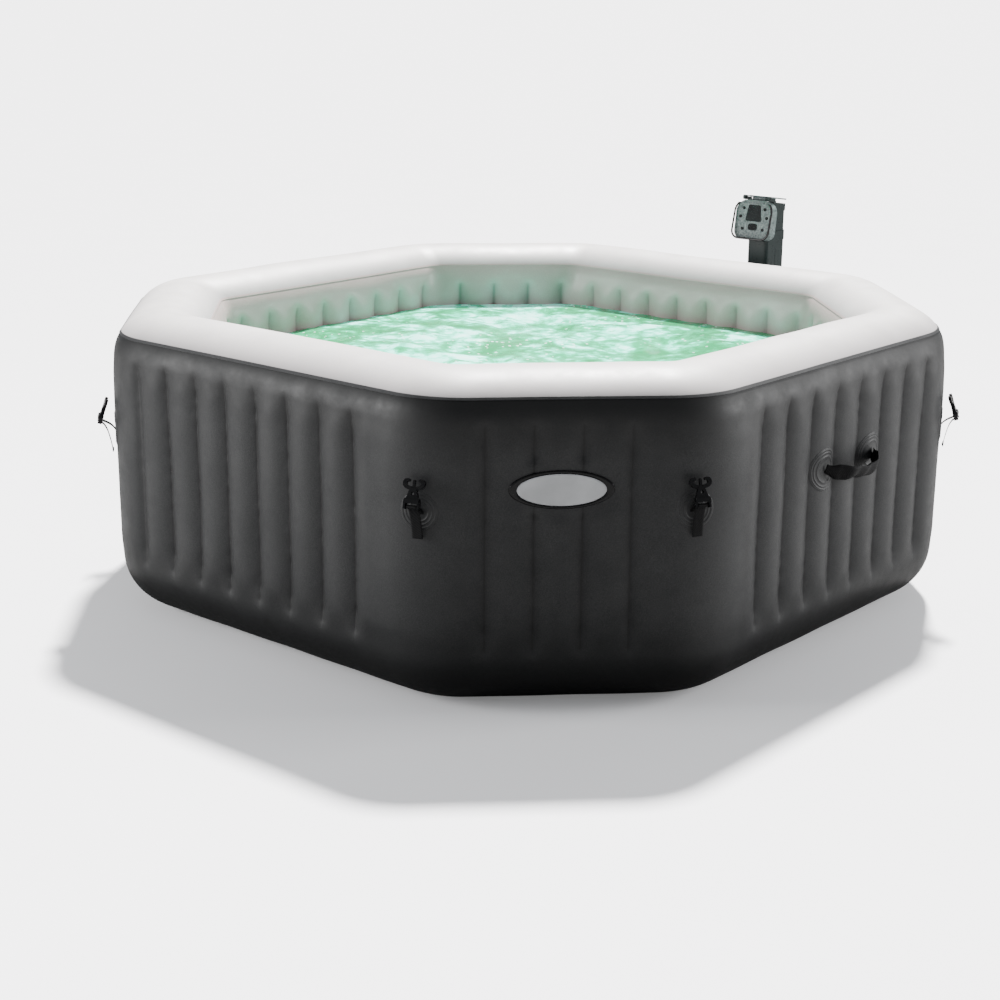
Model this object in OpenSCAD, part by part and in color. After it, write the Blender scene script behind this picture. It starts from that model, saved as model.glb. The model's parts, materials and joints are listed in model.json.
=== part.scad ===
// Octagonal inflatable hot tub with its pump, heater and control unit.
// Row frame: +Z up, origin on the floor at the centre of the tub. The tub has four short sides,
// square to X and Y, and four long sides at 45 degrees. Side 0 faces +X and the numbers run
// anticlockwise seen from above. Side 6 faces -Y and is the front; the control unit is behind side 1.

/* [Tub] */
// Width across the short sides
span_short = 1969; // [1940:1:2010]
// Width across the long sides
span_long = 1809; // [1795:1:1830]
// Height of the crown of the top ring
tub_h = 710; // [690:1:740]
// Width of the air chamber between the outer and the inner wall
chamber_w = 236; // [220:1:250]
// Radius of the outer wall at each corner, seen from above
corner_r = 222; // [200:1:236]
// Radius of the inner wall at each corner, seen from above
inner_corner_r = 60; // [40:1:90]
// Thickness of every welded sheet
sheet_t = 2; // [1.6:0.1:3]
// Height over which the top of the chamber is domed
dome_h = 100; // [92:1:108]
// Height over which the outer wall tucks in towards the floor
foot_h = 131; // [120:1:142]
// How far the outer wall tucks in at the floor
foot_in = 137; // [120:1:155]
// Distance between neighbouring welds
weld_pitch = 98; // [92:1:100]
// Distance of the middle of the welds on the short sides from the middle of their side
weld_shift = -20; // [-26:1:0]

/* [Straps and handles] */
// Height of the cover straps and the carry handles above the floor
fitting_z = 436; // [420:1:460]
// Width of the strap webbing
web_w = 20; // [18:1:22]
// Half of the distance between the two ends of a carry handle
handle_half = 98; // [90:1:104]
// How far a carry handle stands out
handle_out = 48; // [40:1:60]

/* [Control unit] */
// Distance from the middle of the tub to the front of the unit
unit_front = 975; // [970:1:985]
// Depth of the unit, away from the tub
unit_d = 300; // [295:1:320]
// Width of the unit
unit_w = 400; // [396:1:440]
// Height of the top of the unit
unit_h = 520; // [515:1:530]
// Height of the three pipe unions
union_z = 310; // [305:1:315]
// Width of the control post
post_w = 68; // [66:1:72]
// Depth of the control post, away from the tub
post_d = 94; // [88:1:98]
// Height of the top of the control post
post_top = 735; // [728:1:742]
// Backward tilt of the control head
head_tilt = 8; // [6:1:9]

/* [Hidden] */

charcoal = [0.13, 0.13, 0.14];
cream = [0.90, 0.88, 0.85];
black = [0.03, 0.03, 0.03];
slate = [0.22, 0.26, 0.26];
silver = [0.62, 0.68, 0.68];

arc_steps = 6;                       // facets in each corner of the plan
seam_angle = 32;                     // where the ring meets the walls, as an angle on the domed top
dome_c = [chamber_w / 2, tub_h - dome_h];
eps = 0.05;

// ---- Plan of the tub -------------------------------------------------------

function half_span(i) = (i % 2 == 0 ? span_short : span_long) / 2;

// Centre of the corner arc between side i and side i + 1, for a plan set in by off with radius r.
function corner_centre(i, off, r) =
    let (a = half_span(i) - off - r, b = half_span(i + 1) - off - r, t = 45 * i)
    [a * sin(t + 45) - b * sin(t), b * cos(t) - a * cos(t + 45)] / sin(45);

function plan_r(off) = max(corner_r - off, inner_corner_r);

// The closed plan outline, set in by off from the widest line of the outer wall.
function plan(off) =
    let (r = plan_r(off))
    [for (i = [0:7]) let (c = corner_centre(i, off, r))
        for (k = [0:arc_steps]) let (a = 45 * (i + k / arc_steps)) c + r * [cos(a), sin(a)]];

// A thin ring that follows the plan. Each point of the closed section is [set-in, height].
module sweep_plan(section) {
    n = 8 * (arc_steps + 1);
    m = len(section);
    points = [for (p = section) for (q = plan(p[0])) [q[0], q[1], p[1]]];
    faces = [for (j = [0:m - 1], i = [0:n - 1])
        let (i2 = (i + 1) % n, j2 = (j + 1) % m) [j * n + i, j * n + i2, j2 * n + i2, j2 * n + i]];
    polyhedron(points, faces);
}

// Moves children to the outer face of side i, s along it and z up: +X out of the tub, +Y anticlockwise.
module on_side(i, s = 0, z = 0) {
    rotate(45 * i) translate([half_span(i), s, z]) children();
}

// The middle of the row of welds on each side. Each row starts at its own distance from the corner.
weld_mid = [weld_shift, -25, weld_shift, 1, weld_shift, -48, weld_shift, 27];

// Positions of the welds along side i, measured from the middle of the side.
function welds(i) =
    let (n = i % 2 == 0 ? 4 : 8) [for (k = [0:n - 1]) weld_mid[i] + weld_pitch * (k - (n - 1) / 2)];

// ---- Sections of the walls -------------------------------------------------

// Point on the domed top at angle a, on a surface that lies t inside the outer one.
function dome(a, t = 0) = dome_c + [-(chamber_w / 2 - t) * cos(a), (dome_h - t) * sin(a)];

function foot(a, t = 0) = [foot_in - (foot_in - t) * cos(a), foot_h - (foot_h - t) * sin(a)];

function arc_of(from, to, steps) = [for (k = [0:steps]) from + (to - from) * k / steps];

function outer_line(t) = concat([for (a = arc_of(90, 0, 6)) foot(a, t)],
                                [for (a = arc_of(0, seam_angle, 4)) dome(a, t)]);
function ring_line(t) = [for (a = arc_of(seam_angle, 180 - seam_angle, 9)) dome(a, t)];
function inner_line(t) = concat([for (a = arc_of(180 - seam_angle, 180, 4)) dome(a, t)],
                                [[chamber_w - t, sheet_t]]);

function reversed(list) = [for (k = [len(list) - 1:-1:0]) list[k]];
function skin(outside, inside) = concat(outside, reversed(inside));

floor_z = 16;                        // underside of the tub's own floor sheet
channel_w = 40;                      // how far the bubble channel stands out from the inner wall
channel_top = 60;

function channel_line(t) = [
    [chamber_w, channel_top - t], [chamber_w + channel_w * 0.55 - t / 2, channel_top - t],
    [chamber_w + channel_w - t, channel_top * 0.68 - t / 2], [chamber_w + channel_w - t, floor_z + sheet_t]];

// ---- General shapes --------------------------------------------------------

// A box with upright rounded edges, resting on z = 0 and centred on X and Y.
module rounded_box(w, d, h, r) {
    linear_extrude(h) rounded_rect(w, d, r);
}

module rounded_rect(w, d, r) {
    polygon(round_hull([[w / 2 - r, -d / 2 + r], [w / 2 - r, d / 2 - r],
                        [-w / 2 + r, d / 2 - r], [-w / 2 + r, -d / 2 + r]], r));
}

// The outline round a convex, anticlockwise polygon at distance r, with arcs at its corners.
function round_hull(pts, r, steps = 5) =
    let (n = len(pts))
    [for (i = [0:n - 1])
        let (e1 = pts[i] - pts[(i + n - 1) % n], e2 = pts[(i + 1) % n] - pts[i],
             a1 = atan2(e1[1], e1[0]) - 90, a2 = atan2(e2[1], e2[0]) - 90,
             turn = (a2 - a1 + 720) % 360)
        for (k = [0:steps]) let (a = a1 + turn * k / steps) pts[i] + r * [cos(a), sin(a)]];

module along_x(r, l, fn = 48) { rotate([0, 90, 0]) cylinder(r = r, h = l, $fn = fn); }
module along_y(r, l, fn = 48) { rotate([-90, 0, 0]) cylinder(r = r, h = l, $fn = fn); }

module tube_x(r, bore, l) {
    difference() {
        along_x(r, l);
        translate([-1, 0, 0]) along_x(bore, l + 2);
    }
}

// A flat band of even thickness t along a path in the plane, drawn as a polygon.
module band(path, t) {
    n = len(path);
    function dir(k) = let (v = path[min(k + 1, n - 1)] - path[max(k - 1, 0)]) v / norm(v);
    left = [for (k = [0:n - 1]) path[k] + t / 2 * [-dir(k)[1], dir(k)[0]]];
    right = [for (k = [n - 1:-1:0]) path[k] - t / 2 * [-dir(k)[1], dir(k)[0]]];
    polygon(concat(left, right));
}

function bezier(a, b, c, d, steps) = [for (k = [0:steps]) let (u = k / steps, v = 1 - u)
    a * v * v * v + 3 * b * v * v * u + 3 * c * v * u * u + d * u * u * u];

// ---- The inflatable tub ----------------------------------------------------

module base_sheet() {
    color(charcoal) linear_extrude(sheet_t) polygon(plan(foot_in));
}

module outer_wall() {
    color(charcoal) difference() {
        sweep_plan(skin(outer_line(0), outer_line(sheet_t)));
        union_holes(union_tube_r + 1, -20);
        valve_place() translate([-20, 0, 0]) along_x(valve_r + 1, 40, 24);
        drain_place() translate([-20, 0, 0]) along_x(drain_r + 1, 40, 24);
    }
}

module top_ring() {
    color(cream) sweep_plan(skin(ring_line(0), ring_line(sheet_t)));
}

module inner_wall() {
    color(cream) difference() {
        sweep_plan(skin(inner_line(0), inner_line(sheet_t)));
        union_holes(union_tube_r + 1, -chamber_w - 20);
        drain_place() translate([-chamber_w - 20, 0, 0]) along_x(drain_r + 1, 40, 24);
        for (i = jet_sides) jet_place(i) translate([-20, 0, 0]) along_x(jet_r + 1, 40, 24);
    }
}

module tub_floor() {
    color(cream) translate([0, 0, floor_z]) linear_extrude(sheet_t) polygon(plan(chamber_w));
}

// One upright tension sheet behind each weld, from the outer wall to the inner wall.
web_z = [146, 600];
module wall_webs() {
    color(cream) for (i = [0:7], s = welds(i))
        on_side(i, s) translate([-chamber_w + sheet_t, -sheet_t / 2, web_z[0]])
            cube([chamber_w - 2 * sheet_t, sheet_t, web_z[1] - web_z[0]]);
}

module bubble_channel() {
    color(cream) difference() {
        sweep_plan(skin(channel_line(0), channel_line(sheet_t)));
        for (i = [0:7], k = [-2:2])
            on_side(i, 80 * k, channel_top - 8) translate([-chamber_w - channel_w - 4, 0, -22])
                along_x(1.6, 12, 8);
    }
}

// ---- Water jets ------------------------------------------------------------

jet_sides = [0, 2, 4, 6];
jet_z = 262;
jet_r = 20;
manifold_z = 50;
manifold_r = 13;

module jet_place(i) {
    on_side(i, weld_shift, jet_z) translate([-chamber_w, 0, 0]) children();
}

module jet_nozzles() {
    color(cream) for (i = jet_sides) jet_place(i) difference() {
        union() {
            translate([-5, 0, 0]) along_x(34, 5);
            translate([-10, 0, 0]) along_x(jet_r, 140);
            translate([sheet_t, 0, 0]) along_x(jet_r + 6, 5);
        }
        translate([-12, 0, 0]) along_x(9, 138);
        translate([-12, 0, 0]) rotate([0, 90, 0]) cylinder(r1 = 16, r2 = 9, h = 12, $fn = 48);
    }
}

// The supply tube round the foot of the chamber, with one riser to each jet.
module jet_manifold() {
    ring = [for (k = [0:7]) [chamber_w / 2 + manifold_r * cos(45 * k), manifold_z + manifold_r * sin(45 * k)]];
    color(slate) {
        sweep_plan(ring);
        for (i = jet_sides) on_side(i, weld_shift) translate([-chamber_w / 2, 0, manifold_z + manifold_r + 0.2])
            cylinder(r = 10, h = jet_z - manifold_z - manifold_r - jet_r - 0.4, $fn = 24);
    }
}

// ---- Weld patches, cover straps and carry handles --------------------------

patch_r = 36;
handle_patch_r = 49;
patch_gap = 0.3;
strap_angles = [-20.8, 7.9];         // direction of each strap from the middle of its short side
function strap_side(k) = 2 * floor((k - 1) / 2);
function strap_turn(k) = strap_angles[(k - 1) % 2] + (k > 6 ? front_turn[(k - 1) % 2] : 0);
front_turn = [-4, 5.6];              // the two straps on the front sit further round their corners

// Moves children to strap k (1 to 8) on the outer wall: +X straight out, +Z up.
module strap_place(k) {
    i = strap_side(k);
    a = strap_turn(k);
    c = corner_centre(a < 0 ? (i + 7) % 8 : i, 0, corner_r);
    translate([c[0], c[1], fitting_z]) rotate(45 * i + a) translate([corner_r, 0, 0]) children();
}

handle_sides = [7, 3];
module handle_place(k) {
    i = handle_sides[k - 1];
    on_side(i, weld_mid[i], fitting_z) children();
}

module weld_patches() {
    color(black) {
        for (k = [1:8]) strap_place(k) translate([patch_gap, 0, 0]) {
            along_x(patch_r, 1.2);
            translate([1.2 - eps, 0, 0]) along_x(patch_r * 0.75, 1.2);
        }
        for (k = [1:2], side = [-1, 1]) handle_place(k) translate([patch_gap, side * handle_half, 0])
            handle_lug();
    }
}

lug_x = 9;                           // distance of the handle's pivot line from the wall
module handle_lug() {
    difference() {
        union() {
            along_x(handle_patch_r, 1.2);
            translate([1.2 - eps, 0, 0]) along_x(handle_patch_r * 0.78, 1.4);
            translate([2, -8, -5]) cube([lug_x - 2, 16, 10]);
            translate([lug_x, -8, 0]) along_y(5, 16);
        }
        translate([lug_x, -9, 0]) along_y(2.6, 18);
    }
}

bar = [40, 18];                      // the buckle's bar, out from the wall and up from the patch
bar_r = 1.8;
web_t = 1.6;

// Webbing: from the patch out to the buckle's bar, once round it, and a free tail down again.
module strap() {
    loop_r = bar_r + web_t / 2 + 0.3;
    out = bezier([2.7 + web_t / 2, -3], [5, 8], [24, bar[1] + loop_r - 2], bar + [-2, loop_r], 10);
    round = [for (a = [75:-30:-75]) bar + loop_r * [cos(a), sin(a)]];
    tail = bezier(bar + [-2, -loop_r], [28, 9], [17, -16], [13, -52], 9);
    hem = [[12.6, -53.4], [14.2, -54.2], [15.4, -53], [15.8, -48]];
    color(black) rotate([90, 0, 0]) translate([0, 0, -web_w / 2]) linear_extrude(web_w)
        band(concat(out, round, tail, hem), web_t);
}

buckle_lean = 20;                    // lean of the buckle's top towards the wall
buckle_t = 4;
// The plug half of a side-release buckle, with its bar on the Y axis and its two ears up.
module buckle() {
    color(black) translate([bar[0], 0, bar[1]]) rotate([0, -buckle_lean, 0]) {
        translate([0, -web_w / 2 - 2, 0]) along_y(bar_r, web_w + 4);
        translate([-buckle_t / 2, 0, 0]) rotate([90, 0, 90]) linear_extrude(buckle_t) buckle_outline();
    }
}

module buckle_outline() {
    side = web_w / 2 + 0.6;
    difference() {
        union() {
            for (m = [0, 1]) mirror([m, 0]) {
                translate([side, -3]) square([5, 16]);
                polygon([[4, 26], [15, 29], [20, 38], [19.5, 48], [14, 55], [10, 54], [13, 46], [12, 37], [4, 32]]);
            }
            translate([-side - 5, 8]) square([2 * side + 10, 9]);
            translate([-7, 16]) square([14, 18]);
            translate([-2.5, 33]) square([5, 17]);
        }
        translate([0, 25]) circle(r = 3.2, $fn = 32);
    }
}

handle_droop = 22;                   // angle of the handle below the level at rest
handle_w = 34;

// A bowed band between two trunnions. The trunnions turn in the lugs of the weld patches.
module carry_handle(k) {
    reach = handle_out - lug_x;
    half = handle_half - 14;
    path = concat(bezier([14, -half], [reach * 0.85, -half], [reach, -half + 10], [reach, -half + 38], 8),
                  reversed(bezier([14, half], [reach * 0.85, half], [reach, half - 10], [reach, half - 38], 8)));
    color(black) handle_place(k) translate([patch_gap + lug_x, 0, 0]) rotate([0, handle_droop, 0]) {
        translate([0, 0, -handle_w / 2]) linear_extrude(handle_w) band(path, 3);
        for (m = [0, 1]) mirror([0, m, 0]) {
            translate([0, -handle_half - 7.5, 0]) along_y(2.3, 23);
            translate([0, -half - 1.5, 0]) along_y(5, 3);
            translate([0, -half - 1.5, -5]) cube([15, 3, 10]);
        }
    }
}

// ---- Valves ----------------------------------------------------------------

valve_r = 17;
tether = [7, 27];                    // pivot of the valve's cap, out from the wall and above the throat
module valve_place() { on_side(2, weld_shift + weld_pitch, 300) children(); }

// The air valve: a flange welded to the outer wall round a short throat, with two ears for its cap.
module inflation_valve() {
    color(charcoal) valve_place() difference() {
        union() {
            translate([0.2, 0, 0]) along_x(34, 2);
            translate([-18, 0, 0]) along_x(valve_r, 26);
            for (side = [-1, 1]) translate([0.2, side * 8 - 2, tether[1] - 3]) cube([tether[0], 4, 6]);
            for (side = [-1, 1]) translate([tether[0], side * 8 - 2, tether[1]]) along_y(3, 4);
        }
        translate([-19, 0, 0]) along_x(13, 28);
        translate([tether[0], -11, tether[1]]) along_y(1.6, 22);
    }
}

module inflation_cap() {
    color(charcoal) valve_place() {
        difference() {
            translate([8.5, 0, 0]) along_x(20, 8);
            translate([8, 0, 0]) along_x(17.4, 4.5);
        }
        translate([8.5, -5, 17]) cube([3, 10, 11]);
        translate([tether[0], -5, tether[1]]) along_y(3, 10);
        translate([tether[0], -10, tether[1]]) along_y(1.3, 20);
    }
}

drain_r = 16;
drain_z = 110;
module drain_place() { on_side(2, weld_shift - weld_pitch, drain_z) children(); }

// The drain: a tube through both walls, with an open mouth outside and a rim inside the tub.
module drain_valve() {
    color(charcoal) drain_place() difference() {
        union() {
            translate([-chamber_w - 4, 0, 0]) along_x(drain_r, chamber_w + 28);
            translate([-chamber_w - 4, 0, 0]) along_x(26, 3.5);
            translate([0.3, 0, 0]) along_x(28, 2);
        }
        translate([-chamber_w - 6, 0, 0]) along_x(12.5, chamber_w + 34);
    }
}

module drain_cap() {
    color(black) drain_place() difference() {
        union() {
            translate([8, 0, 0]) along_x(20, 22);
            translate([30 - eps, -16, -2.5]) cube([6, 32, 5]);
        }
        translate([7, 0, 0]) along_x(drain_r + 0.4, 17.3);
    }
}

// ---- Unions between the tub and the unit -----------------------------------

union_tube_r = 24;
union_bore = 19;
union_y = [for (k = [-1:1]) weld_mid[1] + weld_pitch * k];

module union_holes(r, from) {
    for (y = union_y) on_side(1, y, union_z) translate([from, 0, 0]) along_x(r, 40, 24);
}

thread_r = 26;
face_x_union = 23;                   // where the fitting ends and the unit's pipe begins

// Through-wall fittings: a flanged tube that crosses the air chamber and ends in a threaded spigot.
module wall_unions() {
    color(charcoal) for (y = union_y) on_side(1, y, union_z) difference() {
        union() {
            translate([-chamber_w - 4, 0, 0]) along_x(union_tube_r, chamber_w + 4 + face_x_union);
            translate([-chamber_w - 4, 0, 0]) along_x(36, 3.5);
            translate([0.3, 0, 0]) along_x(36, 3);
            translate([8, 0, 0]) along_x(thread_r, face_x_union - 8);
        }
        translate([-chamber_w - 6, 0, 0]) along_x(union_bore, chamber_w + 60);
    }
}

// A ribbed nut that pulls the flange of the unit's pipe against the end of the spigot.
module union_nuts() {
    color(slate) for (y = union_y) on_side(1, y, union_z) difference() {
        union() {
            translate([9, 0, 0]) along_x(34, 25);
            for (a = [0:30:330]) rotate([a, 0, 0]) translate([9, -3, 32]) cube([25, 6, 5]);
        }
        translate([8, 0, 0]) along_x(thread_r + 0.3, 20.3);
        translate([25, 0, 0]) along_x(union_bore + 0.6, 12);
    }
}

// Domed grids that keep hair and fingers out of the fittings inside the tub.
module suction_grids() {
    color(cream) for (y = union_y) on_side(1, y, union_z) translate([-chamber_w - 4.2, 0, 0])
        difference() {
            translate([-16, 0, 0]) along_x(34, 16);
            translate([-13, 0, 0]) along_x(31, 14);
            for (k = [-3:3]) translate([-18, 8 * k - 2, -22]) cube([8, 4, 44]);
        }
}

// ---- Control unit ----------------------------------------------------------

shell_t = 3;
unit_x = [unit_front, unit_front + unit_d];
unit_mid = (unit_x[0] + unit_x[1]) / 2;
unit_z0 = 12;                        // height of the unit's underside on its feet
unit_r = 28;                         // radius of the unit's upright edges
well = [1190, union_y[0]];           // centre of the filter well
well_r = 62;
well_z = 270;
post_x = 1075;                       // distance of the swivel axis from the middle of the tub
post_r = 12;
cover_half = unit_w / 2 - unit_r;

// Moves children to the unit's frame: +X away from the tub, +Y anticlockwise.
module unit_place() { rotate(45) children(); }

// Front, sides, roof and floor in one moulding, with the filter well hanging from the roof.
module unit_housing() {
    inner_w = unit_w - 2 * shell_t;
    color(slate) unit_place() difference() {
        union() {
            difference() {
                translate([unit_mid, 0, unit_z0]) rounded_box(unit_d, unit_w, unit_h - unit_z0, unit_r);
                translate([unit_mid, 0, unit_z0 + shell_t])
                    rounded_box(unit_d - 2 * shell_t, inner_w, unit_h - unit_z0 - 2 * shell_t, unit_r - shell_t);
                translate([unit_x[1] - 10, -cover_half, unit_z0 + 30]) cube([20, 2 * cover_half, unit_h - 80]);
            }
            translate([well[0], well[1], well_z]) cylinder(r = well_r + shell_t, h = unit_h - well_z - 1, $fn = 64);
            for (y = [-1, 1], z = screw_z) translate([unit_x[1] - 22, y * (cover_half + 7), z]) along_x(5, 20);
        }
        translate([well[0], well[1], well_z + shell_t]) cylinder(r = well_r, h = 300, $fn = 64);
        translate([well[0], well[1], well_z - 1]) cylinder(r = union_bore + 0.6, h = 6, $fn = 48);
        translate([well[0] - well_r - 10, well[1], union_z]) along_x(union_bore + 0.6, 20);
        for (y = union_y) translate([unit_x[0] - 1, y, union_z]) along_x(union_bore + 0.6, 8);
        for (y = [-1, 1], z = screw_z) translate([unit_x[1] - 20, y * (cover_half + 7), z]) along_x(2.2, 30);
        translate([unit_x[1] - 40, gland_y, gland_z]) along_x(gland_r + 0.3, 60);
        translate([post_x, 0, unit_h - 10]) cylinder(r = 16, h = 20, $fn = 48);
        for (y = [-1, 1]) translate([unit_mid - 55, y * unit_w / 2 - 1.2, 405]) cube([110, 2.4, 36]);
    }
}

screw_z = [60, 265, 470];
gland_y = 150;
gland_z = 46;
gland_r = 12;

// Rear cover: a flat panel over the opening, with two banks of cooling slots and a gland hole.
module unit_cover() {
    color(slate) unit_place() difference() {
        translate([unit_x[1] + 0.2, 0, 0]) rotate([90, 0, 90])
            linear_extrude(4) translate([0, (unit_z0 + unit_h) / 2 - 1]) rounded_rect(2 * cover_half + 30, unit_h - 56, 10);
        for (k = [0:9], y = [-80, 80]) translate([unit_x[1] - 2, y - 55, 120 + 14 * k]) cube([10, 110, 6]);
        for (y = [-1, 1], z = screw_z) translate([unit_x[1] - 2, y * (cover_half + 7), z]) along_x(2.2, 30);
        translate([unit_x[1] - 2, gland_y, gland_z]) along_x(gland_r + 0.3, 30);
    }
}

module unit_feet() {
    color(black) unit_place() for (x = [-1, 1], y = [-1, 1])
        translate([unit_mid + x * 110, y * 150, 0]) cylinder(r = 16, h = unit_z0, $fn = 48);
}

// Cover screws, and the hollow gland that the supply lead would pass through.
module unit_screws() {
    color(black) unit_place() {
        for (y = [-1, 1], z = screw_z) translate([unit_x[1] + 4.3, y * (cover_half + 7), z]) {
            along_x(4.5, 2.5);
            translate([-18, 0, 0]) along_x(2, 18 + eps);
        }
        translate([unit_x[1] - 14, gland_y, gland_z]) difference() {
            union() {
                along_x(gland_r, 34);
                translate([18.4, 0, 0]) along_x(gland_r + 4, 6);
            }
            translate([-1, 0, 0]) along_x(4.8, 40);
        }
    }
}

pump_x = well[0];
pump_z = 85;
motor_r = 48;
volute_r = 58;
volute_y = [-66, -22];

// Motor and volute. The impeller's chamber is hollow, with an eye on one side and a spout on top.
module pump_body() {
    color(black) unit_place() translate([pump_x, 0, pump_z]) difference() {
        union() {
            translate([0, volute_y[1] - eps, 0]) along_y(motor_r, 150);
            translate([0, volute_y[0], 0]) along_y(volute_r, volute_y[1] - volute_y[0]);
            translate([-34, volute_y[1] + 20, unit_z0 + shell_t - pump_z]) cube([68, 110, 40]);
            translate([-30, -44, 40]) cylinder(r = 17, h = 40, $fn = 48);
        }
        translate([0, volute_y[0] + 4, 0]) along_y(volute_r - 4, volute_y[1] - volute_y[0] - 8);
        translate([0, volute_y[0] - 1, 0]) along_y(17, 6);
        translate([0, volute_y[1] - 5, 0]) along_y(4.4, 26);
        translate([-30, -44, 30]) cylinder(r = 13, h = 60, $fn = 48);
    }
}

// Closed-back impeller with six vanes, on the end of the motor's shaft.
module pump_impeller() {
    color(silver) unit_place() translate([pump_x, 0, pump_z]) {
        translate([0, -36, 0]) along_y(44, 4);
        translate([0, -52, 0]) along_y(10, 24);
        translate([0, -36, 0]) along_y(4, 32);
        for (a = [0:60:300]) rotate([0, a, 0]) translate([6, -50, -1.5]) cube([36, 15, 3]);
    }
}

heater_x = 1034;
heater_z = 90;
module heater_tube() {
    color(silver) unit_place() translate([heater_x, -110, heater_z]) difference() {
        union() {
            along_y(28, 220);
            for (y = [0, 212]) translate([0, y, 0]) along_y(34, 8);
            translate([-20, 60, -75 + eps]) cube([40, 12, 50]);
            translate([-20, 150, -75 + eps]) cube([40, 12, 50]);
        }
        translate([0, 4, 0]) along_y(24, 212);
        translate([0, 66, 0]) cylinder(r = 13, h = 40, $fn = 48);
        translate([0, 183, 0]) cylinder(r = 13, h = 40, $fn = 48);
    }
}

blower = [1052, -10];
blower_z = 372;
// Centrifugal blower for the bubbles: a drum with an intake on top and a spout below.
module air_blower() {
    color(black) unit_place() translate([blower[0], blower[1], blower_z]) difference() {
        union() {
            cylinder(r = 60, h = 66, $fn = 64);
            translate([0, union_y[1] - blower[1], -12]) cylinder(r = 17, h = 14, $fn = 48);
        }
        difference() {
            translate([0, 0, 4]) cylinder(r = 56, h = 58, $fn = 64);
            cylinder(r = 18, h = 9.6, $fn = 48);
        }
        translate([0, 0, 50]) cylinder(r = 26, h = 30, $fn = 48);
        translate([0, union_y[1] - blower[1], -13]) cylinder(r = 13, h = 20, $fn = 48);
    }
}

module blower_wheel() {
    color(silver) unit_place() translate([blower[0], blower[1], blower_z + 10]) {
        cylinder(r = 50, h = 3, $fn = 64);
        cylinder(r = 8, h = 30, $fn = 32);
        for (a = [0:30:330]) rotate(a) translate([34, -1, 2]) cube([14, 2, 34]);
    }
}

// Straight pipes between the unions, the filter well, the pump, the heater and the blower.
module water_pipes() {
    r = union_bore;
    pipe_x = half_span(1) + face_x_union + 0.2;
    color(slate) unit_place() {
        translate([pipe_x, union_y[0], union_z]) tube_x(r, r - 3, well[0] - well_r - 2 - pipe_x);
        translate([pipe_x, union_y[1], union_z]) elbow_pipe(r, blower[0] - pipe_x, blower_z - union_z - 12.2);
        translate([pipe_x, union_y[2], union_z]) elbow_pipe(r, heater_x - pipe_x, heater_z + 28.5 - union_z);
        for (y = union_y) translate([pipe_x, y, union_z]) tube_x(25.8, r - 3, 4.6);
        translate([well[0], well[1], pump_z]) {
            cylinder(r = 16, h = well_z - pump_z + 2, $fn = 48);
            sphere(r = 18, $fn = 48);
            along_y(16, volute_y[0] - well[1] - 0.3);
        }
        translate([pump_x - 30, -44, pump_z + 80.3]) {
            cylinder(r = 16, h = 30, $fn = 48);
            translate([0, 0, 30]) sphere(r = 18, $fn = 48);
            translate([heater_x - pump_x + 30, 0, 30]) along_x(16, pump_x - heater_x - 30);
            translate([heater_x - pump_x + 30, 0, 30]) sphere(r = 18, $fn = 48);
            translate([heater_x - pump_x + 30, 0, heater_z + 28.5 - pump_z - 80.3])
                cylinder(r = 12, h = 30 - heater_z - 28.5 + pump_z + 80.3, $fn = 48);
        }
    }
}

// A level pipe of length l that ends in an upright one, up for a positive rise and down for a negative one.
module elbow_pipe(r, l, rise) {
    difference() {
        union() {
            along_x(r, l);
            translate([l, 0, 0]) sphere(r = r + 2, $fn = 48);
            translate([l, 0, min(rise, 0)]) cylinder(r = 14, h = abs(rise), $fn = 48);
        }
        translate([-1, 0, 0]) along_x(r - 3, l - 4);
    }
}

module control_board() {
    color([0.05, 0.25, 0.12]) unit_place() translate([unit_x[1] - 30, 10, 300]) {
        cube([2, 150, 120]);
        for (k = [0:2]) translate([-16, 16 + 44 * k, 20]) cube([16 + eps, 30, 34]);
        translate([-10, 20, 76]) cube([10 + eps, 100, 24]);
    }
}

module filter_cartridge() {
    color(cream) unit_place() translate([well[0], well[1], well_z + 8]) difference() {
        union() {
            cylinder(r = 52, h = 8, $fn = 64);
            translate([0, 0, 216]) cylinder(r = 52, h = 8, $fn = 64);
            for (a = [0:15:345]) rotate(a) translate([22, -1.4, 6]) cube([28, 2.8, 212]);
            cylinder(r = 24, h = 224, $fn = 48);
        }
        translate([0, 0, -1]) cylinder(r = 20, h = 230, $fn = 48);
    }
}

// Twist cap over the filter well, with a bar grip. The cartridge hangs from the cap's plug.
module filter_cap() {
    color(black) unit_place() translate([well[0], well[1], unit_h + 0.2]) {
        cylinder(r = 72, h = 12, $fn = 64);
        translate([0, 0, -unit_h - 0.2 + well_z + 232.2]) cylinder(r = 19.5, h = unit_h + 0.4 - well_z - 232.2, $fn = 48);
        translate([-50, -9, 12 - eps]) cube([100, 18, 16]);
        for (a = [0:20:340]) rotate(a) translate([69, -2.5, 0]) cube([6, 5, 12]);
    }
}

// Hollow post on the roof of the unit, with the round spigot that the head turns on.
spigot_r = 24;
module control_post() {
    color(slate) unit_place() translate([post_x, 0, 0]) difference() {
        union() {
            translate([0, 0, unit_h + 0.2]) rounded_box(post_d, post_w, post_top - unit_h - 0.2, post_r);
            translate([0, 0, unit_h + 0.2]) rounded_box(post_d + 20, post_w + 20, 8, post_r + 6);
            translate([0, 0, post_top - eps]) cylinder(r = spigot_r, h = 12, $fn = 64);
        }
        translate([0, 0, unit_h - 1]) cylinder(r = 19, h = 300, $fn = 48);
        for (y = [-1, 1]) translate([-2, y * (post_w / 2 + 0.6), unit_h + 40]) rotate([0, 0, 45])
            cube([2.4, 2.4, post_top - unit_h - 60]);
    }
}

// ---- Control head ----------------------------------------------------------

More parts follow.
